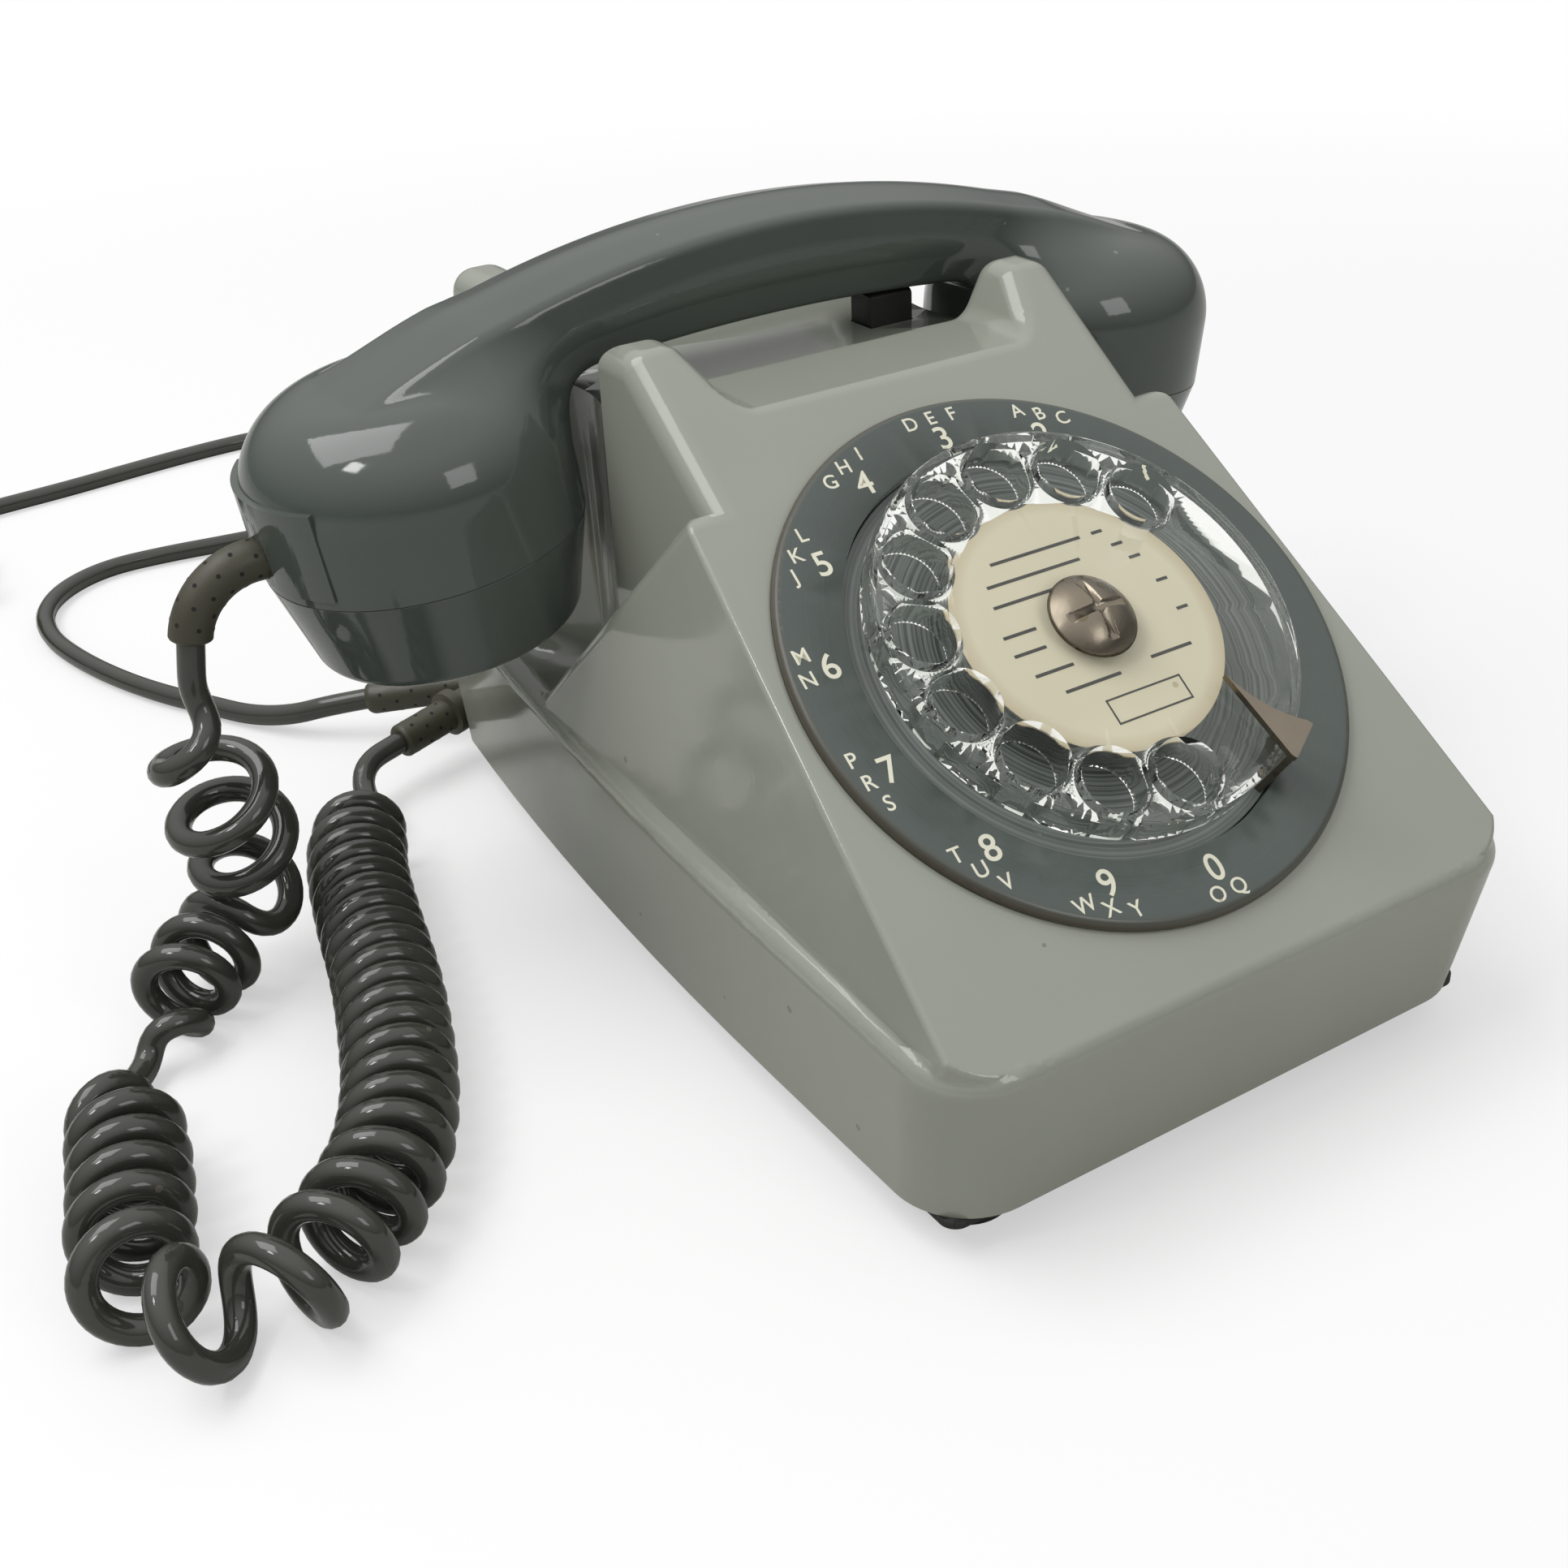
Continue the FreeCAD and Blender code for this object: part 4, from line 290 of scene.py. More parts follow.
class TelephoneSizes(bpy.types.PropertyGroup):
    """Sizes that a user may want to change."""

    cord_diameter: length_property("Cord diameter", "Thickness of both cords", 0.005)
    digit_height: length_property("Digit height", "Height of the digits on the ring", 0.0048)
    letter_height: length_property("Letter height", "Height of the letters on the ring", 0.0028)
    digit_circle: length_property("Digit circle", "Radius on which the digits stand", 0.0444)
    letter_circle: length_property("Letter circle", "Radius on which the letters stand", 0.0488)
    handset_blend: length_property("Handset blend", "Width of the blend from handle to bowls", 0.011)
    hole_radius: length_property("Boot hole", "Radius of the small holes in the boots", 0.00042)


def colours():
    return bpy.context.scene.telephone_colours


def sizes():
    return bpy.context.scene.telephone_sizes


# Meshes


def link(obj):
    bpy.context.scene.collection.objects.link(obj)
    return obj


def new_object(name, vertices, faces, edges=()):
    """Object with a plain mesh whose place is in its vertices."""
    mesh = bpy.data.meshes.new(name)
    mesh.from_pydata([tuple(v) for v in vertices], edges, faces)
    mesh.update()
    return link(bpy.data.objects.new(name, mesh))


def tidy_mesh(mesh, turn_outwards):
    """Merge doubles and, where asked, point all the faces outwards."""
    work = bmesh.new()
    work.from_mesh(mesh)
    bmesh.ops.remove_doubles(work, verts=work.verts, dist=MERGE_ROOM)
    if turn_outwards:
        bmesh.ops.recalc_face_normals(work, faces=work.faces)
    work.to_mesh(mesh)
    work.free()


def smooth(obj, degrees):
    """Smooth shading with sharp edges above an angle and normals that keep flats flat."""
    obj.data.shade_smooth()
    obj.data.set_sharp_from_angle(angle=math.radians(degrees))
    modifier = obj.modifiers.new("flat faces", "WEIGHTED_NORMAL")
    modifier.keep_sharp = True
    return obj


def paint(obj, finish):
    obj.data.materials.clear()
    obj.data.materials.append(finish_named(finish))
    return obj


def place(obj, body, slot, *nodes):
    """Let a finished piece ride on a body in the place of the solids that it stands for."""
    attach(obj, body)
    if nodes:
        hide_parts(*nodes)
    return obj


def dressed(node, body, slot, finish, degrees=30, shift=None):
    """Smoothly shaded copy of a rigid solid, which then stands for it."""
    mesh = frame["nodes"][node].data.copy()
    mesh.name = node + "_piece"
    tidy_mesh(mesh, False)
    if shift is not None:
        mesh.transform(Matrix.Translation(shift))
    obj = link(bpy.data.objects.new(node + "_piece", mesh))
    paint(obj, finish)
    smooth(obj, degrees)
    return place(obj, body, slot, node)


def even_cone(obj, foot, axis, lean):
    """Exact normals on the cone of a turned piece, whose solid has uneven triangles there."""
    obj.modifiers.clear()
    mesh = obj.data
    normals = [corner.vector.copy() for corner in mesh.corner_normals]
    for face in mesh.polygons:
        if abs(face.normal.dot(axis) - lean) < CONE_MATCH:
            for corner in face.loop_indices:
                spoke = mesh.vertices[mesh.loops[corner].vertex_index].co - foot
                spoke -= axis * spoke.dot(axis)
                normals[corner] = spoke.normalized() * math.sqrt(1 - lean * lean) + axis * lean
    mesh.normals_split_custom_set(normals)
    return obj


def joined(name, objects):
    """One mesh object out of several, with the parts removed."""
    work = bmesh.new()
    for obj in objects:
        work.from_mesh(obj.data)
    mesh = bpy.data.meshes.new(name)
    work.to_mesh(mesh)
    work.free()
    for obj in objects:
        bpy.data.objects.remove(obj)
    return link(bpy.data.objects.new(name, mesh))


def evaluated_mesh(obj):
    graph = bpy.context.evaluated_depsgraph_get()
    return bpy.data.meshes.new_from_object(obj.evaluated_get(graph), depsgraph=graph)


def route_curve(name, points, steps):
    """Curve of one open smooth spline with the given control points."""
    curve = bpy.data.curves.new(name, "CURVE")
    curve.dimensions = "3D"
    spline = curve.splines.new("NURBS")
    spline.points.add(len(points) - 1)
    for target, point in zip(spline.points, points):
        target.co = (point[0], point[1], point[2], 1.0)
    spline.order_u = 3
    spline.use_endpoint_u = True
    spline.resolution_u = steps
    curve.resolution_u = steps
    return link(bpy.data.objects.new(name, curve))


def route_points(points, steps):
    """Points along the smooth spline of a route."""
    obj = route_curve("route", points, steps)
    mesh = evaluated_mesh(obj)
    found = np.array([v.co for v in mesh.vertices], float).reshape(-1, 3)
    bpy.data.objects.remove(obj)
    bpy.data.meshes.remove(mesh)
    return found


def ring_frames(points, start):
    """Two directions across a path, carried along it without twist from where the first starts."""
    along = np.gradient(points, axis=0)
    along /= np.linalg.norm(along, axis=1)[:, None]
    side = np.array(start)
    sides = []
    for heading in along:
        side = side - heading * side.dot(heading)
        side = side / np.linalg.norm(side)
        sides.append(side)
    sides = np.array(sides)
    return sides, np.cross(along, sides)


def lathe_rings(name, rings):
    """Closed mesh over rings of equal counts, with a fan at each end."""
    count = len(rings[0])
    vertices = [tuple(v) for ring in rings for v in ring]
    faces = []
    for index in range(len(rings) - 1):
        low = index * count
        for step in range(count):
            ahead = (step + 1) % count
            faces.append((low + step, low + ahead, low + count + ahead, low + count + step))
    for ring, start in ((rings[0], 0), (rings[-1], (len(rings) - 1) * count)):
        hub = len(vertices)
        vertices.append(tuple(np.mean(np.array(ring, float), axis=0)))
        faces += [(start + step, start + (step + 1) % count, hub) for step in range(count)]
    obj = new_object(name, vertices, faces)
    tidy_mesh(obj.data, True)
    return obj


# Geometry trees


def geometry_tree(name, inputs):
    """Empty geometry tree with a geometry in and out and named inputs."""
    tree = bpy.data.node_groups.new(name, "GeometryNodeTree")
    tree.interface.new_socket(name="Geometry", in_out="INPUT", socket_type="NodeSocketGeometry")
    for label, kind in inputs:
        tree.interface.new_socket(name=label, in_out="INPUT", socket_type=kind)
    tree.interface.new_socket(name="Geometry", in_out="OUTPUT", socket_type="NodeSocketGeometry")
    return tree, tree.nodes.new("NodeGroupInput"), tree.nodes.new("NodeGroupOutput")


def end_tree(tree, given, out, geometry):
    """Finish a tree with plain geometry that carries its material."""
    real = add(tree, "GeometryNodeRealizeInstances", {"Geometry": geometry})
    painted = add(tree, "GeometryNodeSetMaterial",
                  {"Geometry": real.outputs["Geometry"], "Material": given.outputs["Finish"]})
    tree.links.new(painted.outputs["Geometry"], out.inputs["Geometry"])
    return tree


def cord_tube_tree():
    """A round tube that follows a chain of points."""
    tree, given, out = geometry_tree("cord tube", (
        ("Diameter", "NodeSocketFloat"), ("Sides", "NodeSocketInt"), ("Finish", "NodeSocketMaterial")))
    radius = add(tree, "ShaderNodeMath", {0: given.outputs["Diameter"], 1: 0.5}, operation="MULTIPLY")
    chain = add(tree, "GeometryNodeMeshToCurve", {"Mesh": given.outputs["Geometry"]})
    section = add(tree, "GeometryNodeCurvePrimitiveCircle",
                  {"Resolution": given.outputs["Sides"], "Radius": radius.outputs[0]})
    tube = add(tree, "GeometryNodeCurveToMesh", {
        "Curve": chain.outputs["Curve"], "Profile Curve": section.outputs["Curve"], "Fill Caps": True})
    soft = add(tree, "GeometryNodeSetShadeSmooth", {"Geometry": tube.outputs["Mesh"]})
    return end_tree(tree, given, out, soft.outputs["Geometry"])


def hole_rows_tree():
    """Small dark discs on points, each turned to the point's own facing, as painted shade for holes."""
    tree, given, out = geometry_tree("hole rows", (
        ("Radius", "NodeSocketFloat"), ("Depth", "NodeSocketFloat"), ("Finish", "NodeSocketMaterial")))
    shade_disc = add(tree, "GeometryNodeMeshCylinder",
              {"Vertices": 12, "Radius": given.outputs["Radius"], "Depth": given.outputs["Depth"]})
    facing = add(tree, "GeometryNodeInputNamedAttribute", {"Name": "facing"}, data_type="FLOAT_VECTOR")
    turn = add(tree, "FunctionNodeAlignRotationToVector", {"Vector": facing.outputs["Attribute"]}, axis="Z")
    shaded_holes = add(tree, "GeometryNodeInstanceOnPoints",
               {"Points": given.outputs["Geometry"], "Instance": shade_disc.outputs["Mesh"],
                "Rotation": turn.outputs["Rotation"]})
    return end_tree(tree, given, out, shaded_holes.outputs["Instances"])


def grown(obj, tree, finish, **values):
    """Run a geometry tree on an object and keep the result as its plain mesh."""
    values["Finish"] = finish_named(finish)
    modifier = obj.modifiers.new(tree.name, "NODES")
    modifier.node_group = tree
    for socket in tree.interface.items_tree:
        if socket.in_out == "INPUT" and socket.name in values:
            modifier[socket.identifier] = values[socket.name]
    mesh = evaluated_mesh(obj)
    obj.modifiers.clear()
    obj.data = mesh
    tidy_mesh(mesh, True)
    return paint(obj, finish)


# Finishes


def add(tree, kind, inputs=None, **settings):
    """Add a node, set it up and fill its inputs with values or links."""
    node = tree.nodes.new(kind)
    for key, value in settings.items():
        setattr(node, key, value)
    for key, value in (inputs or {}).items():
        if isinstance(value, bpy.types.NodeSocket):
            tree.links.new(value, node.inputs[key])
        else:
            node.inputs[key].default_value = value
    return node


def spread(tree, value, low, high, least, most):
    """Map a value that runs from low to high onto another range."""
    return add(tree, "ShaderNodeMapRange", {"Value": value, "From Min": low, "From Max": high,
                                            "To Min": least, "To Max": most}).outputs["Result"]


def reckon(tree, operation, first, second):
    return add(tree, "ShaderNodeMath", {0: first, 1: second}, operation=operation).outputs[0]


def tinted(tree, share, colour, tint):
    """Mix a tint into a colour."""
    mix = add(tree, "ShaderNodeMix", data_type="RGBA")
    for socket, value in ((mix.inputs["Factor"], share), (mix.inputs[6], colour), (mix.inputs[7], tint)):
        if isinstance(value, bpy.types.NodeSocket):
            tree.links.new(value, socket)
        else:
            socket.default_value = value
    return mix.outputs[2]


def mix_surface(tree, output, share, first, second):
    """End a material or a world in a mix of two shaders."""
    mixed = add(tree, "ShaderNodeMixShader", {0: share, 1: first.outputs[0], 2: second.outputs[0]})
    tree.links.new(mixed.outputs[0], tree.nodes[output].inputs["Surface"])


def shader_group(name, inputs, outputs):
    tree = bpy.data.node_groups.new(name, "ShaderNodeTree")
    for label, kind, value in inputs:
        tree.interface.new_socket(name=label, in_out="INPUT", socket_type=kind).default_value = value
    for label, kind in outputs:
        tree.interface.new_socket(name=label, in_out="OUTPUT", socket_type=kind)
    return tree, tree.nodes.new("NodeGroupInput").outputs, tree.nodes.new("NodeGroupOutput")


def send(tree, out, **sockets):
    for label, socket in sockets.items():
        tree.links.new(socket, out.inputs[label])


def surface_group():
    """Mottled colour with sparse specks, patchy gloss and fine grain."""
    known = bpy.data.node_groups.get("handled surface")
    if known:
        return known
    tree, given, out = shader_group("handled surface", (
        ("Colour", "NodeSocketColor", (0.5, 0.5, 0.5, 1)), ("Speck", "NodeSocketColor", (0.1, 0.1, 0.1, 1)),
        ("Mottle", "NodeSocketFloat", 0.05), ("Speck Size", "NodeSocketFloat", 0.06),
        ("Speck Scale", "NodeSocketFloat", 90.0), ("Gloss", "NodeSocketFloat", 0.2),
        ("Scuff", "NodeSocketFloat", 0.35), ("Grain Scale", "NodeSocketFloat", 900.0)),
        (("Colour", "NodeSocketColor"), ("Roughness", "NodeSocketFloat"), ("Height", "NodeSocketFloat")))
    where = add(tree, "ShaderNodeTexCoord").outputs["Object"]
    cloud = add(tree, "ShaderNodeTexNoise", {"Vector": where, "Scale": 28.0, "Detail": 5.0})
    darker = reckon(tree, "SUBTRACT", 1.0, given["Mottle"])
    lighter = reckon(tree, "ADD", 1.0, given["Mottle"])
    shade = spread(tree, cloud.outputs["Fac"], 0.3, 0.7, darker, lighter)
    mottled = add(tree, "ShaderNodeHueSaturation", {"Value": shade, "Color": given["Colour"]})
    cells = add(tree, "ShaderNodeTexVoronoi", {"Vector": where, "Scale": given["Speck Scale"]})
    dot = reckon(tree, "LESS_THAN", cells.outputs["Distance"], given["Speck Size"])
    chance = add(tree, "ShaderNodeSeparateColor", {"Color": cells.outputs["Color"]})
    some = reckon(tree, "GREATER_THAN", chance.outputs["Red"], SPECK_RARITY)
    faint = reckon(tree, "MULTIPLY", reckon(tree, "MULTIPLY", dot, some), SPECK_STRENGTH)
    specked = tinted(tree, faint, mottled.outputs["Color"], given["Speck"])
    smear = add(tree, "ShaderNodeTexNoise",
                {"Vector": where, "Scale": 75.0, "Detail": 7.0, "Distortion": 1.2})
    rough = spread(tree, smear.outputs["Fac"], 0.35, 0.72, given["Gloss"], given["Scuff"])
    grain = add(tree, "ShaderNodeTexNoise", {"Vector": where, "Scale": given["Grain Scale"], "Detail": 2.0})
    send(tree, out, Colour=specked, Roughness=rough, Height=grain.outputs["Fac"])
    return tree


def turned_group():
    """Fine concentric marks, as from turning, around the axis of the dial."""
    known = bpy.data.node_groups.get("turned marks")
    if known:
        return known
    tree, given, out = shader_group("turned marks", (
        ("Density", "NodeSocketFloat", 2600.0), ("Gloss", "NodeSocketFloat", 0.25),
        ("Scuff", "NodeSocketFloat", 0.45)),
        (("Radius", "NodeSocketFloat"), ("Mark", "NodeSocketFloat"), ("Roughness", "NodeSocketFloat")))
    where = add(tree, "ShaderNodeTexCoord").outputs["Object"]
    local = add(tree, "ShaderNodeMapping", {"Vector": where, "Location": tuple(DIAL_CENTRE),
                                            "Rotation": (FACE_TILT, 0, 0)}, vector_type="TEXTURE")
    apart = add(tree, "ShaderNodeSeparateXYZ", {"Vector": local.outputs["Vector"]})
    flat = add(tree, "ShaderNodeCombineXYZ", {"X": apart.outputs["X"], "Y": apart.outputs["Y"]})
    radius = add(tree, "ShaderNodeVectorMath", {0: flat.outputs["Vector"]}, operation="LENGTH")
    dense = reckon(tree, "MULTIPLY", radius.outputs["Value"], given["Density"])
    marks = add(tree, "ShaderNodeTexNoise", {"W": dense, "Scale": 1.0, "Detail": 4.0}, noise_dimensions="1D")
    rough = spread(tree, marks.outputs["Fac"], 0.3, 0.7, given["Gloss"], given["Scuff"])
    send(tree, out, Radius=radius.outputs["Value"], Mark=marks.outputs["Fac"], Roughness=rough)
    return tree


def new_finish(name, **sockets):
    """Material with a Principled shader whose plain values are set on its own sockets."""
    material = bpy.data.materials.new(name + FINISH_MARK)
    material.use_nodes = True
    tree = material.node_tree
    shader = tree.nodes["Principled BSDF"]
    for label, value in sockets.items():
        shader.inputs[label.replace("_", " ")].default_value = value
    return material, tree, shader


def opaque(colour):
    return (colour[0], colour[1], colour[2], 1.0)


def surface_node(tree, colour, **values):
    """The handled surface in a material, with the material's own values."""
    node = add(tree, "ShaderNodeGroup", node_tree=surface_group())
    node.inputs["Colour"].default_value = opaque(colour)
    for label, value in values.items():
        node.inputs[label.replace("_", " ")].default_value = value
    return node.outputs


def connect(tree, shader, colour, roughness, height, strength, depth):
    """Feed a shader its colour, its roughness and a relief of some height."""
    relief = add(tree, "ShaderNodeBump", {"Height": height, "Strength": strength, "Distance": depth})
    if colour is not None:
        tree.links.new(colour, shader.inputs["Base Color"])
    tree.links.new(roughness, shader.inputs["Roughness"])
    tree.links.new(relief.outputs["Normal"], shader.inputs["Normal"])


def handled(name, colour, bump=0.05, sockets=None, **values):
    """Finish with the handled surface's colour, gloss and grain."""
    material, tree, shader = new_finish(name, **(sockets or {}))
    surface = surface_node(tree, colour, **values)
    connect(tree, shader, surface["Colour"], surface["Roughness"], surface["Height"], bump, GRAIN_DEPTH)
    return material


def body_moulding():
    return handled("body_moulding", colours().body, Speck=opaque(srgb(96, 92, 78)), Mottle=0.03,
                   Speck_Size=0.05, Speck_Scale=70.0, Gloss=0.07, Scuff=0.16)


def handset_moulding():
    return handled("handset_moulding", colours().handset, Speck=opaque(srgb(128, 130, 122)), Mottle=0.04,
                   Speck_Size=0.05, Speck_Scale=95.0, Gloss=0.05, Scuff=0.13)


def black_moulding():
    return handled("black_moulding", srgb(38, 38, 36), Mottle=0.08, Gloss=0.35, Scuff=0.55)


def rubber_feet():
    return handled("rubber_feet", srgb(24, 24, 23), 0.25, Speck=opaque(srgb(70, 66, 58)), Mottle=0.15,
                   Speck_Size=0.12, Gloss=0.55, Scuff=0.8)


def cord_sheath():
    return handled("cord_sheath", colours().cord, 0.03, Speck=opaque(srgb(112, 108, 94)), Mottle=0.12,
                   Speck_Size=0.1, Speck_Scale=140.0, Gloss=0.04, Scuff=0.16)


def boot_rubber():
    return handled("boot_rubber", colours().boot, 0.2, Speck=opaque(srgb(104, 98, 78)), Mottle=0.14,
                   Speck_Size=0.12, Speck_Scale=160.0, Gloss=0.38, Scuff=0.6)


# Near-black finish of the boot hole discs: painted shade, since the real holes are dark only from the shade
# inside them.
def boot_pits():
    return handled("boot_pits", srgb(18, 17, 14), Mottle=0.1, Gloss=0.7, Scuff=0.9)


def figure_paint():
    return handled("figure_paint", colours().figures, Speck=opaque(srgb(150, 140, 110)), Mottle=0.06,
                   Speck_Size=0.18, Speck_Scale=420.0, Gloss=0.4, Scuff=0.6)


def card_ink():
    return handled("card_ink", colours().ink, Mottle=0.2, Gloss=0.5, Scuff=0.7)


def winding():
    return handled("winding", srgb(120, 62, 34), 0.3, Mottle=0.2, Gloss=0.4, Scuff=0.6)


def metal(name, colour, stain, gloss, scuff, size=0.3):
    return handled(name, colour, 0.12, sockets={"Metallic": 1.0}, Speck=opaque(stain), Mottle=0.18,
                   Speck_Size=size, Speck_Scale=260.0, Gloss=gloss, Scuff=scuff)


def aged_nickel():
    return metal("aged_nickel", colours().nickel, srgb(98, 84, 62), 0.2, 0.42)


def steel():
    return metal("steel", srgb(170, 170, 168), srgb(110, 106, 98), 0.3, 0.5)


def brass():
    return metal("brass", srgb(196, 166, 102), srgb(120, 92, 50), 0.25, 0.45)


def aluminium():
    return metal("aluminium", srgb(200, 200, 198), srgb(150, 148, 144), 0.3, 0.5)


def dial_slate():
    """Turned slate grey with brownish dirt along the outer edge of the ring."""
    material, tree, shader = new_finish("dial_slate")
    surface = surface_node(tree, colours().dial, Speck=opaque(srgb(120, 122, 112)), Mottle=0.06)
    turned = add(tree, "ShaderNodeGroup", node_tree=turned_group()).outputs
    dirt = spread(tree, turned["Radius"], *RING_DIRT, 0.0, 0.75)
    soiled = tinted(tree, dirt, surface["Colour"], opaque(srgb(74, 62, 44)))
    connect(tree, shader, soiled, turned["Roughness"], turned["Mark"], 0.09, MARK_DEPTH)
    return material


def scuffed_bed():
    """Plate that the fingers rub: circles of pale and dark scratches under the holes."""
    material, tree, shader = new_finish("scuffed_bed")
    surface = surface_node(tree, colours().bed, Mottle=0.22)
    turned = add(tree, "ShaderNodeGroup", {"Density": 1500.0, "Gloss": 0.3, "Scuff": 0.6},
                 node_tree=turned_group()).outputs
    worn = spread(tree, turned["Mark"], 0.42, 0.6, 0.45, 1.1)
    scratched = add(tree, "ShaderNodeHueSaturation", {"Value": worn, "Color": surface["Colour"]})
    connect(tree, shader, scratched.outputs["Color"], turned["Roughness"], turned["Mark"], 0.15, MARK_DEPTH)
    return material


def card_paper():
    """Yellowed card, browner towards its rim."""
    material, tree, shader = new_finish("card_paper")
    surface = surface_node(tree, colours().card, Speck=opaque(srgb(170, 150, 110)), Gloss=0.55, Scuff=0.75)
    turned = add(tree, "ShaderNodeGroup", node_tree=turned_group()).outputs
    rim = spread(tree, turned["Radius"], *CARD_RIM, 0.0, 0.45)
    aged = tinted(tree, rim, surface["Colour"], opaque(srgb(168, 142, 98)))
    connect(tree, shader, aged, surface["Roughness"], surface["Height"], 0.1, MARK_DEPTH)
    return material


def clear_acrylic():
    """Clear plastic with fine scuffs, which lets light through to what lies under it."""
    material, tree, shader = new_finish("clear_acrylic", Transmission_Weight=1.0, IOR=1.3,
                                        Base_Color=opaque(srgb(250, 251, 247)))
    surface = add(tree, "ShaderNodeGroup", {"Gloss": 0.015, "Scuff": 0.07, "Grain Scale": 420.0},
                  node_tree=surface_group()).outputs
    connect(tree, shader, None, surface["Roughness"], surface["Height"], 0.03, MARK_DEPTH)
    path = add(tree, "ShaderNodeLightPath").outputs
    unseen = reckon(tree, "MAXIMUM", path["Is Shadow Ray"], path["Is Diffuse Ray"])
    deep = reckon(tree, "GREATER_THAN", path["Transmission Depth"], CLEAR_BOUNCES)
    passing = reckon(tree, "MAXIMUM", unseen, deep)
    open_way = add(tree, "ShaderNodeBsdfTransparent", {"Color": (0.92, 0.93, 0.92, 1)})
    mix_surface(tree, "Material Output", passing, shader, open_way)
    return material


FINISHES = {build.__name__: build for build in (
    body_moulding, handset_moulding, black_moulding, rubber_feet, cord_sheath, boot_rubber, boot_pits,
    figure_paint, card_ink, winding, aged_nickel, steel, brass, aluminium, dial_slate, scuffed_bed,
    card_paper, clear_acrylic)}


def finish_named(name):
    """The finish of that name, built the first time that a piece asks for it."""
    return bpy.data.materials.get(name + FINISH_MARK) or FINISHES[name]()


# Handset form


def handle_corners(x):
    """Corners of the handle's cross-section at each x: the ridge first, then round one side."""
    top = ARCH_TOP_Z - x * x / (2 * ARCH_R)
    under = ARCH_UNDER_Z - x * x / (2 * ARCH_UNDER_R)
    half = [(HANDLE_TOP_HALF, top - HANDLE_ROOF), (HANDLE_SIDE_HALF, top - HANDLE_SIDE_DROP),
            (HANDLE_UNDER_HALF, under)]
    corners = [(0.0, top)] + half + [(-wide, z) for wide, z in reversed(half)]
    return [(np.full_like(x, wide), z) for wide, z in corners]


def soft_max(first, second, width):
    """The larger of two distances, rounded where they are nearly equal."""
    near = np.maximum(width - np.abs(first - second), 0) / width
    return np.maximum(first, second) + near * near * width / 4


def handle_distance(x, y, z):
    """Signed distance, near the surface, to the arched handle with its rounded edges."""
    corners = handle_corners(x)
    far = np.abs(x) - HANDLE_END_X
    for (ay, az), (by, bz) in zip(corners, corners[1:] + corners[:1]):
        run_y = by - ay
        run_z = bz - az
        size = np.hypot(run_y, run_z)
        far = soft_max(far, ((z - az) * run_y - (y - ay) * run_z) / size, HANDLE_EDGE)
    return far


def bowl_distance(x, y, z):
    """Signed distance to the nearer of the two tilted bowls, which reach a little below their seams."""
    dx = BOWL_X - np.abs(x)
    dz = z - BOWL_SEAM_Z
    across = dx * math.cos(BOWL_TILT) + dz * math.sin(BOWL_TILT)
    height = -dx * math.sin(BOWL_TILT) + dz * math.cos(BOWL_TILT)
    radius = np.hypot(across, y)
    shoulder = BOWL_HEIGHT - BOWL_SHOULDER_R
    side = BOWL_R + BOWL_FLARE * np.minimum(height, shoulder) / BOWL_HEIGHT
    flat = np.maximum(np.maximum(radius - side, height - BOWL_HEIGHT), -height - BOWL_TUCK)
    in_r = radius - side + BOWL_SHOULDER_R
    in_h = height - shoulder
    round_off = np.hypot(in_r, in_h) - BOWL_SHOULDER_R
    return np.where((in_r > 0) & (in_h > 0), round_off, flat)


def handset_distance(x, y, z):
    """Handle and bowls as one form: a concave blend, and a rib that fades out over each bowl."""
    bowl = bowl_distance(x, y, z)
    reach = np.abs(x)
    fade = (RIB_END_X - reach) / (RIB_END_X - RIB_START_X)
    handle = soft_max(handle_distance(x, y, z), bowl - RIB_RISE * fade * np.abs(fade), HANDLE_EDGE)
    blend = np.clip((BLEND_NONE_X - reach) / (BLEND_NONE_X - BLEND_FULL_X), BLEND_LEAST, 1)
    width = sizes().handset_blend * blend
    share = np.clip(0.5 + 0.5 * (bowl - handle) / width, 0, 1)
    return bowl * (1 - share) + handle * share - width * share * (1 - share)


def grid_surface(distance):
    """Points and quads of a closed surface: one point in each cell of a grid that the surface crosses."""
    axes = [np.arange(low, high, GRID_STEP) for low, high in zip(GRID_LOW, GRID_HIGH)]
    inside = distance(*np.meshgrid(*axes, indexing="ij", sparse=True)) < 0
    corners = np.zeros([size - 1 for size in inside.shape], int)
    for i, j, k in np.ndindex(2, 2, 2):
        corners += inside[i:, j:, k:][:corners.shape[0], :corners.shape[1], :corners.shape[2]]
    crossed = (corners > 0) & (corners < 8)
    number = np.full(corners.shape, -1)
    number[crossed] = np.arange(crossed.sum())
    points = np.array(GRID_LOW) + (np.argwhere(crossed) + 0.5) * GRID_STEP
    quads = []
    for axis in range(3):
        turned = np.moveaxis(inside, axis, 0)
        cells = np.moveaxis(number, axis, 0)
        i, j, k = np.nonzero(turned[:-1, 1:-1, 1:-1] != turned[1:, 1:-1, 1:-1])
        round_edge = ((0, 0), (1, 0), (1, 1), (0, 1))
        quads.append(np.stack([cells[i, j + over, k + up] for over, up in round_edge], axis=1))
    return points, np.concatenate(quads)


def evened(points, quads):
    """Points moved halfway to the middle of their neighbours."""
    ahead = np.roll(quads, -1, axis=1)
    ends = np.concatenate([quads.ravel(), ahead.ravel()])
    others = np.concatenate([ahead.ravel(), quads.ravel()])
    sums = np.stack([np.bincount(ends, weights=points[others, axis]) for axis in range(3)], axis=1)
    return (points + sums / np.bincount(ends)[:, None]) / 2


